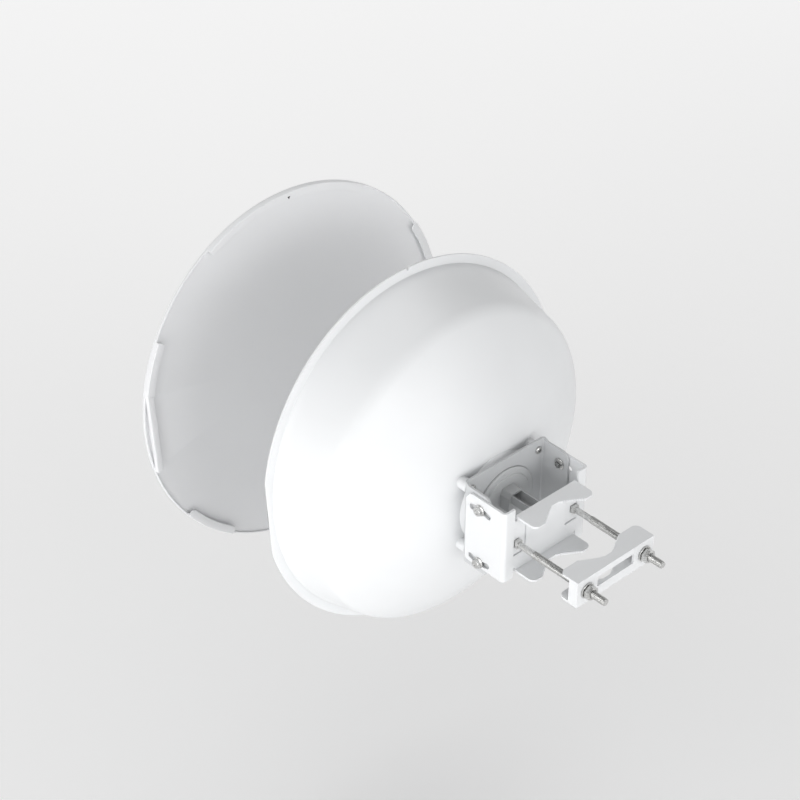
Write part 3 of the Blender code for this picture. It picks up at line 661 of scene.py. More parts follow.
def mouth_ring(radius, depth, chord=None):
    points = []
    for u, v in polygon(radius, RING_SEGMENTS):
        if chord is not None:
            u = max(-chord, min(chord, u))
        points.append(on_mouth(u, v, depth))
    return points


def ring_between(ring_a, ring_b, share):
    return [a.lerp(b, share) for a, b in zip(ring_a, ring_b)]


def rounded_corner(before, corner, after, steps):
    """Rings of a fillet that leaves `before`, turns at `corner` and arrives at `after`."""
    rings = []
    for i in range(steps + 1):
        t = i / steps
        rings.append([a * (1 - t) ** 2 + c * (2 * t * (1 - t)) + b * t ** 2
                      for a, c, b in zip(before, corner, after)])
    return rings


def on_bowl_to_pad(x, z):
    """Depth 0 lies in the bowl's skin and depth 1 is level with the bracket's seat."""
    def place(u, v, w):
        skin = bowl_y(hypot(x + u, z + v), 0.0010)
        return Vector((x + u, PAD_Y if w > 0.5 else skin, z + v))
    return place


def shell_skin(inset, throat, pad_r, pad_y, crease_r, crease_y):
    """Rings of one face of the shell, from the hub's hole to the top of the shroud wall."""
    rings = [bowl_ring(HUB_HOLE_R, pad_y)]
    rings += rounded_corner(bowl_ring(pad_r - 0.0012, pad_y), bowl_ring(pad_r, pad_y),
                            bowl_ring(pad_r + 0.0012, pad_y - 0.0025), 3)
    first = pad_r + 0.0045
    steps = 26
    last = 0.955 * crease_r
    for i in range(steps + 1):
        radius = first + (last - first) * i / steps
        rings.append(bowl_ring(radius, bowl_y(radius, inset)))
    crease = bowl_ring(crease_r, crease_y)
    rings += rounded_corner(rings.pop(), crease, ring_between(crease, throat, 0.13), 8)
    for share in (0.3, 0.5, 0.7, 0.85):
        rings.append(ring_between(crease, throat, share))
    return rings


def make_reflector():
    throat = mouth_ring(THROAT_R, 0.0)
    outer = shell_skin(0.0, throat, PAD_R, PAD_Y, CREASE_R, CREASE_Y)
    outer += rounded_corner(ring_between(outer[-1], throat, 0.95), throat,
                            mouth_ring(THROAT_R + 0.0004, 0.0), 3)
    edge = 0.0007
    rim = [mouth_ring(r, n, CHORD_X + r - RIM_R) for r, n in (
        (RIM_R - edge, 0.0), (RIM_R - 0.3 * edge, -0.3 * edge), (RIM_R, -edge), (RIM_R, edge - FLANGE_T),
        (RIM_R - 0.3 * edge, 0.3 * edge - FLANGE_T), (RIM_R - edge, -FLANGE_T))]
    front = mouth_ring(THROAT_R - SHELL_T, -FLANGE_T)
    inner = shell_skin(0.0022, front, PAD_R - 0.0025, PAD_Y - 0.0025, CREASE_R - SHELL_T, CREASE_Y - 0.0012)
    inner += rounded_corner(ring_between(inner[-1], front, 0.9), front,
                            mouth_ring(THROAT_R - SHELL_T + 0.0015, -FLANGE_T), 4)
    item = mesh_object("reflector_shell", skinned(outer + rim + list(reversed(inner))))
    notch = rounded([(-NOTCH_W / 2 - 0.0008, RIM_R + 0.002, 0.0), (-NOTCH_W / 2, RIM_R, 0.0006),
                     (0.0, RIM_R - NOTCH_DEPTH, 0.0008), (NOTCH_W / 2, RIM_R, 0.0006),
                     (NOTCH_W / 2 + 0.0008, RIM_R + 0.002, 0.0)], 3)
    cut(item, prism(list(reversed(notch)), -0.006, 0.004, on_mouth))
    bosses = bmesh.new()
    holes = bmesh.new()
    for x in (-SCREW_X, SCREW_X):
        for z in SCREW_Z:
            cylinder(BOSS_R, 0.0, 1.0, on_bowl_to_pad(x, z), 40, bosses)
            cylinder(SCREW_HOLE_R, PAD_Y - 0.0085, PAD_Y + 0.001, about_y(x, z), 24, holes)
    combine(item, "UNION", bosses)
    cut(item, holes)
    finish_piece(item, "dish", dish_paint, ["reflector"], angle=28.0)


def make_rim_seal():
    """Foam strip with a rounded top on the front of the flange."""
    inner_r, outer_r = THROAT_R - SHELL_T + 0.001, 0.2012
    back, front = -FLANGE_T - GAP, -FLANGE_T - GAP - 0.0011
    rings = [mouth_ring(inner_r, back), mouth_ring(outer_r, back), mouth_ring(outer_r, front + 0.0005),
             mouth_ring(outer_r - 0.0006, front), mouth_ring(inner_r + 0.0006, front),
             mouth_ring(inner_r, front + 0.0005)]
    finish_piece(mesh_object("rim_seal_strip", skinned(rings)), "dish", foam, ["rim_seal"], angle=60.0)


# ---- radome ----
def clip_section(hook):
    """Wall outwards of the rim and a hook over it; offsets run from the wall's outer face."""
    top = CLIP_H
    return [(0.0, -0.0030), (0.0, top - 0.0010), (-0.0002, top - 0.0004), (-0.0008, top),
            (0.0006 - hook, top), (0.0002 - hook, top - 0.0002), (-hook, top - 0.0006),
            (-hook, top - CLIP_HOOK_T + 0.0005), (0.0005 - hook, top - CLIP_HOOK_T),
            (-CLIP_WALL_T, top - CLIP_HOOK_T), (-CLIP_WALL_T, -0.0030)]


def clip_run(points, hook_at):
    """Sweep the clip along (position, outward) pairs; both ends of its hook are rounded."""
    shape = bmesh.new()
    lengths = [0.0]
    for (a, _), (b, _) in zip(points, points[1:]):
        lengths.append(lengths[-1] + dist(a, b))
    loops = []
    for ((u, v), (nu, nv)), along in zip(points, lengths):
        hook = hook_at(v)
        near_end = min(along, lengths[-1] - along)
        if near_end < CLIP_CORNER:
            hook -= CLIP_CORNER - sqrt(CLIP_CORNER ** 2 - (CLIP_CORNER - near_end) ** 2)
        loops.append([shape.verts.new(on_radome(u + nu * a, v + nv * a, h)) for a, h in clip_section(hook)])
    return closed_tube(shape, loops)


def clip_arc(start, end):
    """Points a degree apart, closer at both ends where the hook rounds off."""
    angles = [start + (end - start) * i / 240.0 for i in (0, 0.5, 1, 2, 3, 4)]
    steps = max(2, round(abs(end - start)))
    angles += [start + (end - start) * (0.02 + 0.96 * i / steps) for i in range(steps + 1)]
    angles += [end - (end - start) * i / 240.0 for i in (4, 3, 2, 1, 0.5, 0)]
    directions = [(cos(radians(a)), sin(radians(a))) for a in angles]
    radius = RADOME_R - 0.0001
    return [((radius * u, radius * v), (u, v)) for u, v in directions]


def make_radome():
    floor, front = -RADOME_LIP_H, -RADOME_LIP_H - RADOME_T
    inner = RADOME_R - RADOME_LIP_W
    profile = [(0.0, floor), (0.10, floor), (inner - 0.0008, floor), (inner - 0.0002, floor + 0.0002),
               (inner, floor + 0.0008), (inner, -0.0004), (inner + 0.0004, 0.0), (RADOME_R - 0.0004, 0.0),
               (RADOME_R, -0.0004), (RADOME_R, front + 0.0022), (RADOME_R - 0.0006, front + 0.0008),
               (RADOME_R - 0.0020, front), (0.10, front), (0.0, front)]
    cover = mesh_object("radome_shell", turned(profile, on_radome, RING_SEGMENTS))
    hook = RADOME_R - CLIP_INNER_R
    for start, end in CLIP_ARCS:
        combine(cover, "UNION", clip_run(clip_arc(start, end), lambda v: hook))
    for side in (1.0, -1.0):
        first, last = SIDE_CLIP_ANGLES
        shares = [0, 0.01, 0.02, 0.04, 0.06] + [0.08 + 0.92 * i / 16.0 for i in range(17)]
        angles = [radians(first - (first - last) * share) for share in shares]
        run = [((side * RADOME_R * cos(a), RADOME_R * sin(a)), (side * cos(a), sin(a))) for a in angles]
        top = RADOME_R * sin(radians(last)) - 0.001
        levels = [top, 0.03, 0.0, -0.03]
        levels += [rise - CLIP_CHORD_HALF for rise in (0.0035, 0.0022, 0.0012, 0.0005, 0.0001, 0.0)]
        run += [((side * CLIP_CHORD_WALL_X, z), (side, 0.0)) for z in levels]

        def hook_at(v, top=top):
            return hook if v > top + 0.0005 else CLIP_CHORD_WALL_X - CLIP_CHORD_X
        combine(cover, "UNION", clip_run(run, hook_at))
    finish_piece(cover, "radome", radome_plastic, ["radome_cover"], angle=32.0)

    mark = arc(0.0, 0.0, 0.0021, -90.0, 150.0, 2)
    middle = RADOME_R - 0.0060
    turn = radians(MARK_ANGLE)

    def place(u, v, w):
        return on_radome(middle * cos(turn) + u, middle * sin(turn) + v, w)

    arrow = mesh_object("alignment_mark", prism(mark, CLIP_H - 0.0001, CLIP_H + 0.00012, place))
    finish_piece(arrow, "radome", dark_plastic, [])


# ---- pole bracket ----
def slot_outline():
    """Curved slot about the tilt axis, drawn above it."""
    half = degrees(SLOT_HALF_ANGLE)
    outer = arc(0.0, 0.0, TILT_BOLT_R + SLOT_W / 2, 90 - half, 90 + half, 20)
    inner = arc(0.0, 0.0, TILT_BOLT_R - SLOT_W / 2, 90 + half, 90 - half, 20)
    c, s = TILT_BOLT_R * sin(SLOT_HALF_ANGLE), TILT_BOLT_R * cos(SLOT_HALF_ANGLE)
    left_end = arc(-c, s, SLOT_W / 2, 90 + half, 270 + half, 14)[1:-1]
    right_end = arc(c, s, SLOT_W / 2, -90 - half, 90 - half, 14)[1:-1]
    return outer + left_end + inner + right_end


def jaw_plan(half_x, back_y, tip_y, vee_y):
    """Plan of a jaw flange with a toothed V between two lobes."""
    side = copysign(1.0, tip_y - back_y)
    right = arc(half_x - JAW_CORNER_R, tip_y - side * JAW_CORNER_R, JAW_CORNER_R, 0.0, side * 90.0, 16)
    left = [(-u, v) for u, v in reversed(right)]
    return [(half_x, back_y)] + right + vee_edge(tip_y, vee_y) + left + [(-half_x, back_y)]


def make_pole_bracket():
    plan = sheet_outline(
        [(OUTER_HALF_X, OUTER_FRONT_Y), (OUTER_HALF_X, PLATE_Y), (-OUTER_HALF_X, PLATE_Y),
         (-OUTER_HALF_X, OUTER_FRONT_Y)], SHEET_T, BEND_R, 10)
    bracket = mesh_object("pole_bracket_plate", prism(plan, OUTER_BOTTOM_Z, OUTER_TOP_Z, facing_z))
    side_view = rounded([
        (OUTER_FRONT_Y, OUTER_BOTTOM_Z, 0.004), (OUTER_FRONT_Y + 0.030, OUTER_BOTTOM_Z - 0.0004, 0.0),
        (PLATE_Y + 0.001, OUTER_BOTTOM_Z, 0.0), (PLATE_Y + 0.001, OUTER_TOP_Z, 0.0),
        (OUTER_FRONT_Y + 0.006, OUTER_TOP_Z - 0.0004, 0.004), (OUTER_FRONT_Y, OUTER_TOP_Z - 0.009, 0.005)],
        10)
    trim(bracket, prism(side_view, -0.07, 0.07, facing_x))
    windows = prism(rectangle(-RELIEF_X, JAW_TOP_Z - 0.0055, RELIEF_X, 0.06), PLATE_Y - 0.006,
                    PLATE_Y + 0.002, facing_y)
    prism(rectangle(-RELIEF_X, -0.06, RELIEF_X, JAW_BOTTOM_Z + 0.0055), PLATE_Y - 0.006, PLATE_Y + 0.002,
          facing_y, windows)
    cut(bracket, windows)
    section = sheet_outline(
        [(JAW_TIP_Y + 0.002, JAW_BOTTOM_Z), (PLATE_Y - SHEET_T, JAW_BOTTOM_Z),
         (PLATE_Y - SHEET_T, JAW_TOP_Z), (JAW_TIP_Y + 0.002, JAW_TOP_Z)], -SHEET_T, -BEND_R, 10)
    jaws = mesh_object("jaws", prism(section, -JAW_HALF_X, JAW_HALF_X, facing_x))
    outline = jaw_plan(JAW_HALF_X, PLATE_Y - 0.006, JAW_TIP_Y, JAW_ROOT_Y)
    trim(jaws, prism(outline, -0.05, 0.05, facing_z))
    join(bracket, jaws)

    pockets = bmesh.new()
    necks = bmesh.new()
    for side in (-1.0, 1.0):
        low, high = sorted((side * POCKET_INNER_X, side * POCKET_OUTER_X))
        prism(rounded_box(low, POCKET_LOW_Z, high, POCKET_HIGH_Z, 0.0008, 3), PLATE_Y - POCKET_DEPTH,
              PLATE_Y + 0.003, facing_y, pockets)
        x = side * BOLT_X
        prism(rectangle(x - 0.0044, BOLT_Z - 0.0044, x + 0.0044, BOLT_Z + 0.0044), PLATE_Y - 0.006,
              PLATE_Y - 0.0005, facing_y, necks)
    cut(bracket, pockets)
    floor_y = PLATE_Y - POCKET_DEPTH
    depths = (floor_y - GROOVE, floor_y + 0.0004)
    for low, high in ((POCKET_INNER_X, POCKET_OUTER_X), (-POCKET_OUTER_X, -POCKET_INNER_X)):
        start, end = low + GROOVE, high - GROOVE
        edges = prism(rectangle(start, POCKET_LOW_Z, end, POCKET_LOW_Z + GROOVE), *depths, facing_y)
        prism(rectangle(start, POCKET_HIGH_Z - GROOVE, end, POCKET_HIGH_Z), *depths, facing_y, edges)
        cut(bracket, edges)
        inner = low if low > 0.0 else end
        upright = rectangle(inner, POCKET_LOW_Z + 0.0004, inner + GROOVE, POCKET_HIGH_Z - 0.0004)
        cut(bracket, prism(upright, *depths, facing_y))
    cut(bracket, necks)
    slots = bmesh.new()
    upper = slot_outline()
    for outline in (upper, [(-u, -v) for u, v in upper]):
        prism(outline, -0.07, 0.07, about_x(TILT_Y, 0.0), slots)
    cut(bracket, slots)
    finish_piece(bracket, "pole_side", bracket_paint, ["pole_bracket"], edge=0.0003)


# ---- threaded pieces ----
def make_thread(name, place, crest_r, pitch, start, end, body, node, segments):
    """A rod whose radius follows a helical thread; both ends taper to a chamfer."""
    rows = 6  # loops in one turn
    depth = 0.54 * pitch
    count = int((end - start) / pitch * rows)
    shape = bmesh.new()
    loops = []
    for k in range(count + 1):
        y = start + (end - start) * k / count
        fade = min(1.0, (y - start) / (1.2 * pitch), (end - y) / (1.2 * pitch))
        loop = []
        for j in range(segments):
            angle = 2.0 * pi * j / segments
            phase = (y / pitch + j / segments) % 1.0
            wave = min(1.0, max(0.0, abs(2.0 * phase - 1.0) * 1.35 - 0.15))
            radius = crest_r - depth * (1.0 - wave) * fade - (1.0 - fade) * 0.55 * depth
            loop.append(shape.verts.new(place(radius * cos(angle), radius * sin(angle), y)))
        loops.append(loop)
    finish_piece(mesh_object(name, closed_tube(shape, loops)), body, zinc, [node], angle=60.0)


def make_carriage_bolts():
    for label, x in (("left", BOLT_X), ("right", -BOLT_X)):
        place = about_y(x, BOLT_Z)
        back = PLATE_Y - SHEET_T - GAP
        name = "carriage_bolt_" + label
        square = rounded_box(-0.0040, -0.0040, 0.0040, 0.0040, 0.0007, 3)
        bolt = mesh_object(name + "_body", prism(square, back - 0.0002, PLATE_Y + 0.0035, place))
        dome = [(0.0, back - 0.0042)]
        for i in range(1, 11):
            angle = radians(9.0 * i)
            dome.append((0.0090 * sin(angle), back - 0.0006 - 0.0036 * cos(angle)))
        dome += [(0.0088, back), (0.0, back)]
        combine(bolt, "UNION", turned(dome, place, 48))
        shank = [(0.0, back - 0.001), (0.0034, back - 0.001), (0.0034, THREAD_START_Y - 0.0004),
                 (0.00365, THREAD_START_Y + 0.0002), (0.00365, THREAD_START_Y + 0.0012),
                 (0.0, THREAD_START_Y + 0.0012)]
        combine(bolt, "UNION", turned(shank, place, 32))
        finish_piece(bolt, "pole_side", zinc, [name], edge=0.0002)
        make_thread(name + "_thread", place, BOLT_R, BOLT_PITCH, THREAD_START_Y + 0.0002, BOLT_TIP_Y,
                    "pole_side", name, 32)


def chamfered_nut(name, across, height, bore_r, place, body, nodes):
    """Hexagon nut with its corners turned off on both faces; its depth starts at 0."""
    corner = across / 2.0 / cos(radians(30.0))
    nut = mesh_object(name, prism(polygon(corner, 6, 30.0), 0.0, height, place))
    slope = (corner - across / 2.0) * 0.55
    flat_r = across / 2.0 * 0.97
    cone = [(0.0, -0.0001), (flat_r, -0.0001), (corner + 0.0001, slope), (corner + 0.0001, height - slope),
            (flat_r, height + 0.0001), (0.0, height + 0.0001)]
    trim(nut, turned(cone, place, 64))
    bore = [(0, -0.001), (bore_r + 0.0006, -0.001), (bore_r, 0.0007), (bore_r, height - 0.0007),
            (bore_r + 0.0006, height + 0.001), (0, height + 0.001)]
    cut(nut, turned(bore, place, 32))
    finish_piece(nut, body, zinc, nodes, edge=0.00015)


# ---- pole clamp ----
def make_clamp():
    front = CLAMP_TIP_Y - 0.002
    section = sheet_outline(
        [(front, CLAMP_TOP_Z), (CLAMP_WEB_Y, CLAMP_TOP_Z), (CLAMP_WEB_Y, CLAMP_BOTTOM_Z),
         (front, CLAMP_BOTTOM_Z)], -SHEET_T, -CLAMP_BEND_R, 10)
    bracket = mesh_object("clamp_bracket_plate", prism(section, -CLAMP_HALF_X, CLAMP_HALF_X, facing_x))
    outline = jaw_plan(CLAMP_HALF_X, CLAMP_WEB_Y + 0.001, CLAMP_TIP_Y, CLAMP_VEE_Y)
    trim(bracket, prism(outline, -0.03, 0.03, facing_z))
    ends = bmesh.new()
    for side in (-1.0, 1.0):
        low, high = sorted((side * CLAMP_HALF_X, side * (CLAMP_HALF_X - SHEET_T)))
        prism(rectangle(low, CLAMP_WEB_Y - 0.0115, high, CLAMP_WEB_Y - 0.0010), CLAMP_BOTTOM_Z + 0.001,
              CLAMP_TOP_Z - 0.001, facing_z, ends)
    combine(bracket, "UNION", ends)
    low, high = CLAMP_WEB_Y - 0.006, CLAMP_WEB_Y + 0.003
    cuts = prism(rounded_box(-0.026, -0.0015, 0.026, 0.0105, 0.0012, 5), low, high, facing_y)
    for x in (BOLT_X, -BOLT_X):
        cylinder(BOLT_R + 0.0006, low, high, about_y(x, BOLT_Z), 36, cuts)
    cut(bracket, cuts)
    finish_piece(bracket, "clamp", bracket_paint, ["clamp_bracket"], edge=0.0003)

    for label, x in (("left", BOLT_X), ("right", -BOLT_X)):
        face = CLAMP_WEB_Y + GAP
        edge = 0.0002
        ring = [(BOLT_R + 0.0004, face), (WASHER_R - edge, face), (WASHER_R, face + edge),
                (WASHER_R, face + WASHER_T - edge), (WASHER_R - edge, face + WASHER_T),
                (BOLT_R + 0.0006, face + WASHER_T), (BOLT_R + 0.0004, face + WASHER_T - edge)]
        lathe("clamp_washer_%s_ring" % label, ring, 0, about_y(x, BOLT_Z), 64, "clamp", zinc,
              ["clamp_washer_" + label], closed=True)
        chamfered_nut("clamp_nut_%s_hexagon" % label, 0.0130, NUT_H, BOLT_R + 0.0003,
                      measured(about_y(x, BOLT_Z), face + WASHER_T + GAP, 1.0), "clamp",
                      ["clamp_nut_" + label])


# ---- tilting bracket on the dish ----
def make_dish_bracket():
    plan = sheet_outline(
        [(-INNER_HALF_X, INNER_ARM_END_Y), (-INNER_HALF_X, INNER_BACK_Y - SHEET_T),
         (INNER_HALF_X, INNER_BACK_Y - SHEET_T), (INNER_HALF_X, INNER_ARM_END_Y)], SHEET_T, BEND_R, 10)
    bracket = mesh_object("dish_bracket_plate", prism(plan, INNER_BOTTOM_Z, INNER_TOP_Z, facing_z))
    side_view = rounded([
        (INNER_BACK_Y - 0.004, INNER_BOTTOM_Z, 0.0), (INNER_ARM_END_Y, INNER_BOTTOM_Z, 0.009),
        (INNER_ARM_END_Y, INNER_ARM_TOP_Z, 0.009), (INNER_BACK_Y + 0.006, INNER_ARM_TOP_Z, 0.003),
        (INNER_BACK_Y + 0.0005, INNER_TOP_Z, 0.0), (INNER_BACK_Y - 0.004, INNER_TOP_Z, 0.0)], 10)
    trim(bracket, prism(side_view, -0.07, 0.07, facing_x))
    back, front = INNER_BACK_Y - 0.006, INNER_BACK_Y + 0.003
    holes = cylinder(HUB_R + 0.0004, back, front, about_y(0, 0), 128)
    for x in (-SCREW_X, SCREW_X):
        for z in SCREW_Z:
            cylinder(SCREW_HOLE_R, back, front, about_y(x, z), 24, holes)
    cylinder(GROUND_HOLE_R, back, front, about_y(0.0, GROUND_Z), 24, holes)
    cut(bracket, holes)
    bores = bmesh.new()
    for z in (TILT_BOLT_R, -TILT_BOLT_R):
        cylinder(TILT_HOLE_R, -0.07, 0.07, about_x(TILT_Y, z), 28, bores)
    cut(bracket, bores)
    # its paint is the darker copy of the bracket white: painted shade for the bracket's hollow
    finish_piece(bracket, "dish", shaded_bracket_paint, ["dish_bracket"], edge=0.0003)


def pan_screw(name, place, head_r, head_h, shank_r, tip, seat, body, node):
    """Pan-head screw, its head dome computed from an arc."""
    profile = [(0.0, tip), (shank_r * 0.6, tip), (shank_r, tip + 0.0008), (shank_r, seat),
               (head_r - 0.0002, seat), (head_r, seat + 0.0002), (head_r, seat + head_h * 0.35)]
    for i in range(1, 7):
        angle = radians(15.0 * i)
        profile.append((head_r * cos(angle), seat + head_h * (0.35 + 0.65 * sin(angle))))
    profile[-1] = (0.0, seat + head_h)
    screw = mesh_object(name, turned(profile, place, 40))
    top = seat + head_h
    for wide, tall in ((head_r * 0.5, head_r * 0.11), (head_r * 0.11, head_r * 0.5)):
        recess = prism(rectangle(-wide, -tall, wide, tall), top - head_h * 0.55, top + 0.001, place)
        cut(screw, recess)
    finish_piece(screw, body, zinc, [node])


def make_bracket_screws():
    face = INNER_BACK_Y + GAP
    for side, x in (("left", SCREW_X), ("right", -SCREW_X)):
        for level, z in (("upper", SCREW_Z[0]), ("lower", SCREW_Z[1])):
            node = "bracket_screw_%s_%s" % (level, side)
            pan_screw(node + "_pan", about_y(x, z), 0.0042, 0.0024, 0.0020, PAD_Y - 0.0075, face, "dish",
                      node)
    pan_screw("ground_screw_pan", about_y(0.0, GROUND_Z), 0.0040, 0.0028, 0.0019, INNER_BACK_Y - SHEET_T,
              face, "dish", "ground_screw")


def make_tilt_fasteners():
    """Flanged bolts through the curved slots, with flanged nuts inside the dish bracket's arms."""
    across = 0.0090
    corner = across / 2.0 / cos(radians(30.0))
    flange = [(0.0, -0.0002), (0.0060, -0.0002), (0.0062, 0.0), (0.0062, 0.0007), (0.0059, 0.0010),
              (0.0046, 0.0016), (0.0, 0.0017)]
    cone = [(0.0, 0.0), (corner + 0.0001, 0.0), (corner + 0.0001, 0.0043), (across / 2.0 * 0.95, 0.0049),
            (0.0, 0.0049)]
    hollow = [(0.0, 0.0040), (0.0022, 0.0041), (0.0030, 0.0050), (0.0, 0.0050)]
    collar = [(TILT_HOLE_R, 0.0), (0.0062, 0.0), (0.0064, 0.0002), (0.0064, 0.0008), (0.0046, 0.0018),
              (TILT_HOLE_R, 0.0018)]
    for side, sign in (("left", 1.0), ("right", -1.0)):
        for level, z in (("upper", TILT_BOLT_R), ("lower", -TILT_BOLT_R)):
            axis = about_x(TILT_Y, z)
            node = "tilt_bolt_%s_%s" % (level, side)
            face = sign * (OUTER_HALF_X + GAP)
            outwards = measured(axis, face, sign)
            bolt = mesh_object(node + "_head", turned(flange, outwards, 48))
            head = mesh_object("head", prism(polygon(corner, 6, 30.0), 0.0008, 0.0048, outwards))
            trim(head, turned(cone, outwards, 48))
            cut(head, turned(hollow, outwards, 32))
            join(bolt, head)
            finish_piece(bolt, "dish", zinc, [node], edge=0.00012)
            low, high = sorted((sign * TILT_BOLT_TIP_X, face + sign * 0.0004))
            make_thread(node + "_thread", axis, TILT_THREAD_R, TILT_PITCH, low, high, "dish", node, 24)

            nut_node = "tilt_nut_%s_%s" % (level, side)
            inner = sign * (INNER_HALF_X - SHEET_T - GAP)
            chamfered_nut(nut_node + "_hexagon", across, TILT_NUT_H - 0.0010, 0.0032,
                          measured(axis, inner - sign * 0.0010, -sign), "dish", [nut_node])
            lathe(nut_node + "_flange", collar, 0, measured(axis, inner, -sign), 48, "dish", zinc,
                  [nut_node], closed=True)


# ---- feed and radio ----
def make_feed():
    axis = about_y(0.0, 0.0)
    shell = [
        (0.0362, -0.0990, 0.0004), (0.0362, -0.1046, 0.0), (0.0440, -0.1046, 0.0005),
        (0.0440, -0.1075, 0.0008), (0.0372, -0.1075, 0.0004), (0.0372, -0.1315, 0.0015),
        (0.0185, -0.1480, 0.006), (0.0160, -0.1540, 0.004), (0.0160, -0.2050, 0.0006),
        (0.0135, -0.2050, 0.0004), (0.0135, -0.1520, 0.002), (0.0165, -0.1465, 0.002),
        (0.0335, -0.1305, 0.002), (0.0335, -0.0990, 0.0003)]
    lathe("feed_housing_shell", shell, 5, axis, 96, "dish", shaded_hub_plastic, ["feed_housing"], closed=True)
    ribs = bmesh.new()
    for i in range(12):
        angle = 2.0 * pi * i / 12.0
        c, s = cos(angle), sin(angle)

        def radial(u, v, w, c=c, s=s):
            return Vector((u * c - w * s, v, u * s + w * c))
        prism([(0.0370, -0.1078), (0.0432, -0.1078), (0.0370, -0.1150)], -0.0007, 0.0007, radial, ribs)
    finish_piece(mesh_object("feed_housing_ribs", ribs), "dish", shaded_hub_plastic, ["feed_housing"], edge=0.0002)

    gasket = rounded_box(0.0375, -0.1024, 0.0435, -0.1042, 0.0005, 4)
    lathe("hub_gasket_ring", gasket, 0, axis, 96, "dish", rubber, ["hub_gasket"], closed=True)

    cap = [(0.0, -0.2053, 0.0), (0.0125, -0.2053, 0.0), (0.0160, -0.2056, 0.0003),
           (0.0160, -0.2075, 0.0006), (0.0110, -0.2100, 0.0005), (0.0, -0.2100, 0.0)]
    lathe("feed_spacer_cone", cap, 4, axis, 72, "dish", natural_plastic, ["feed_spacer"])
    splash = [(0.0, -0.2103, 0.0), (0.0100, -0.2103, 0.004), (0.0280, -0.2130, 0.0003),
              (0.0285, -0.2142, 0.0004), (0.0280, -0.2152, 0.0004), (0.0, -0.2152, 0.0)]
    lathe("sub_reflector_disc", splash, 5, axis, 96, "dish", aluminium, ["sub_reflector"])
    probe = [(0.0, -0.1253, 0.0), (0.0050, -0.1253, 0.0003), (0.0050, -0.1290, 0.0003),
             (0.0030, -0.1300, 0.0005), (0.0030, -0.2000, 0.0010), (0.0, -0.2010, 0.0)]
    lathe("feed_probe_rod", probe, 4, axis, 40, "dish", brass, ["feed_probe"])


def make_rear_hub():
    axis = about_y(0.0, 0.0)
    disc = rounded([(0.0, -0.0987, 0.0), (HUB_R, -0.0987, 0.0002), (HUB_R, -0.0950, 0.0006),
                    (0.0380, -0.0942, 0.0006), (0.0330, -0.0942, 0.0003), (0.0322, -0.0928, 0.0004),
                    (0.0, -0.0920, 0.0)], 4, closed=False)
    hub = mesh_object("rear_hub_cover", turned(disc, axis, 128))
    collar = rounded([(-0.0105, -0.0020, 0.002), (0.0105, -0.0020, 0.002), (0.0105, 0.0160, 0.0008),
                      (0.0068, 0.0215, 0.0008), (-0.0068, 0.0215, 0.0008), (-0.0105, 0.0160, 0.0008)], 5)
    combine(hub, "UNION", prism(collar, -0.0945, CHANNEL_ROOT_Y - GAP, axis))
    port = rounded_box(-0.0060, 0.0101, 0.0060, 0.0190, 0.0004, 3)
    cut(hub, prism(port, -0.1000, -0.0780, axis))
    small = cylinder(0.0024, -0.1, -0.09, about_y(BUTTON_X, BUTTON_Z), 28)
    cylinder(0.0018, -0.1, -0.09, about_y(-BUTTON_X, BUTTON_Z), 28, small)
    cut(hub, small)
    finish_piece(hub, "dish", shaded_hub_plastic, ["rear_hub"], edge=0.0003)

    channel = sheet_outline([(-0.0072, 0.0200), (-0.0072, 0.0085), (0.0072, 0.0085), (0.0072, 0.0200)],
                            0.0012, 0.0020, 6)
    bar = mesh_object("cable_channel_bar", prism(channel, CHANNEL_ROOT_Y, -0.0500, axis))
    finish_piece(bar, "dish", shaded_hub_plastic, ["cable_channel"], edge=0.0002)


def make_button_and_light():
    press = [(0.0, -0.1008, 0.0), (0.0033, -0.1008, 0.0002), (0.0033, -0.0990, 0.0002),
             (0.0020, -0.0990, 0.0), (0.0020, -0.0917, 0.0004), (0.0, -0.0915, 0.0)]
    lathe("reset_button_cap", press, 4, about_y(BUTTON_X, BUTTON_Z), 32, "button", dark_plastic,
          ["reset_button"])
    pipe = [(0.0, -0.1000, 0.0), (0.0014, -0.1000, 0.0002), (0.0014, -0.0918, 0.0004), (0.0, -0.0916, 0.0)]
    lathe("status_light_guide", pipe, 4, about_y(-BUTTON_X, BUTTON_Z), 32, "dish", lens, ["status_light"])


def keep_inner_nodes():
    keep_node("radio_board", board_green)
    keep_node("rf_shield", tin)
    keep_node("ethernet_jack", tin)


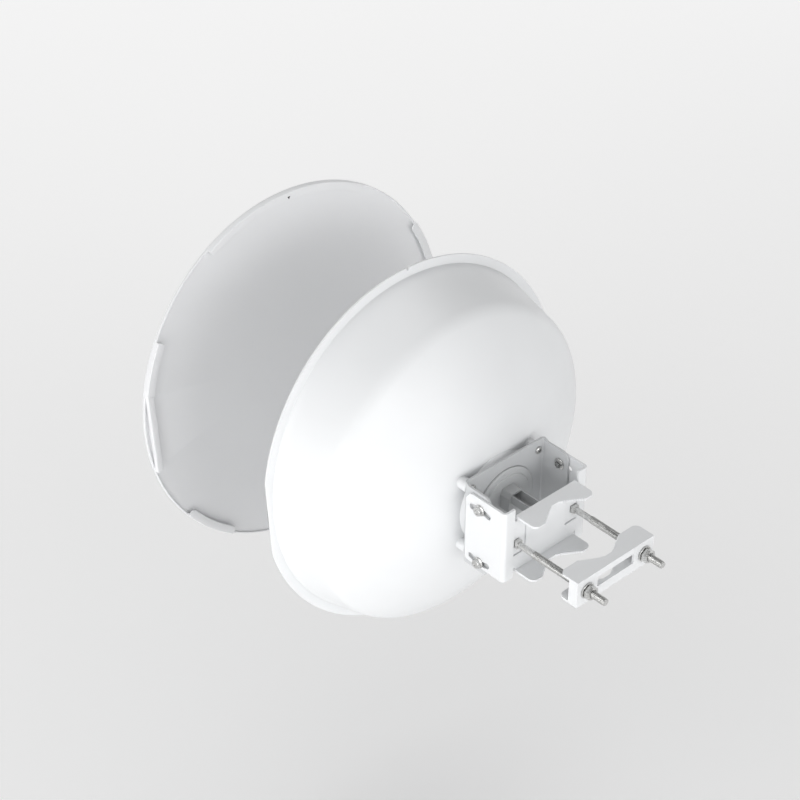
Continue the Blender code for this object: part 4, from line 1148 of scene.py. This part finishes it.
# ---- stage ----
def make_stage():
    floor_mesh = bmesh.new()
    bmesh.ops.create_grid(floor_mesh, x_segments=1, y_segments=1, size=FLOOR_SIZE)
    mesh = bpy.data.meshes.new("floor")
    floor_mesh.to_mesh(mesh)
    floor_mesh.free()
    floor = new_object("floor", mesh)
    floor.location = (0.0, FLOOR_Y, cad_low.z - FLOOR_DROP)
    finish = Finish("floor_paint", 0.9)
    finish.colour(finish.mix(finish.noise(0.8, 2.0), (0.83, 0.83, 0.83), (0.85, 0.85, 0.85)))
    finish.shader.inputs["Specular IOR Level"].default_value = 0.1
    finish.shader.inputs["Emission Color"].default_value = (1.0, 1.0, 1.0, 1.0)
    reach = finish.nodes.new("ShaderNodeVectorMath")
    reach.operation = "LENGTH"
    finish.links.new(finish.coordinates, reach.inputs[0])
    glow = finish.between(reach.outputs["Value"], *FLOOR_GLOW, 0.0, FLOOR_REACH)
    finish.links.new(glow, finish.shader.inputs["Emission Strength"])
    mesh.materials.append(finish.material)


def make_lamp(name, location, size, power):
    lamp = bpy.data.lights.new(name, "AREA")
    lamp.shape = "RECTANGLE"
    lamp.size, lamp.size_y = size
    lamp.energy = power
    item = new_object(name, lamp)
    item.location = location
    direction = Vector(LAMP_TARGET) - Vector(location)
    item.rotation_euler = direction.to_track_quat("-Z", "Y").to_euler()


def make_lights():
    world = bpy.data.worlds.new("studio")
    world.use_nodes = True
    background = world.node_tree.nodes["Background"]
    background.inputs["Color"].default_value = (1.0, 1.0, 1.0, 1.0)
    nodes, links = world.node_tree.nodes, world.node_tree.links
    along = nodes.new("ShaderNodeVectorMath")
    along.operation = "DOT_PRODUCT"
    along.inputs[1].default_value = STUDIO_LEAN
    total = nodes.new("ShaderNodeMath")
    total.inputs[1].default_value = STUDIO_GLOW
    links.new(nodes.new("ShaderNodeTexCoord").outputs["Generated"], along.inputs[0])
    links.new(along.outputs["Value"], total.inputs[0])
    links.new(total.outputs["Value"], background.inputs["Strength"])
    bpy.context.scene.world = world
    for lamp in LAMPS:
        make_lamp(*lamp)


def make_camera():
    lens_data = bpy.data.cameras.new("camera")
    lens_data.lens = CAMERA_LENS
    lens_data.sensor_width = 36.0
    lens_data.clip_end = 50.0
    camera = new_object("camera", lens_data)
    camera.location = CAMERA_PLACE
    camera.rotation_euler = [radians(a) for a in CAMERA_TURN]
    bpy.context.scene.camera = camera


def main():
    bpy.context.scene.view_settings.view_transform = "Standard"
    make_camera()
    make_stage()
    make_lights()
    make_reflector()
    make_rim_seal()
    make_radome()
    make_pole_bracket()
    make_carriage_bolts()
    make_clamp()
    make_dish_bracket()
    make_bracket_screws()
    make_tilt_fasteners()
    make_feed()
    make_rear_hub()
    make_button_and_light()
    keep_inner_nodes()


main()
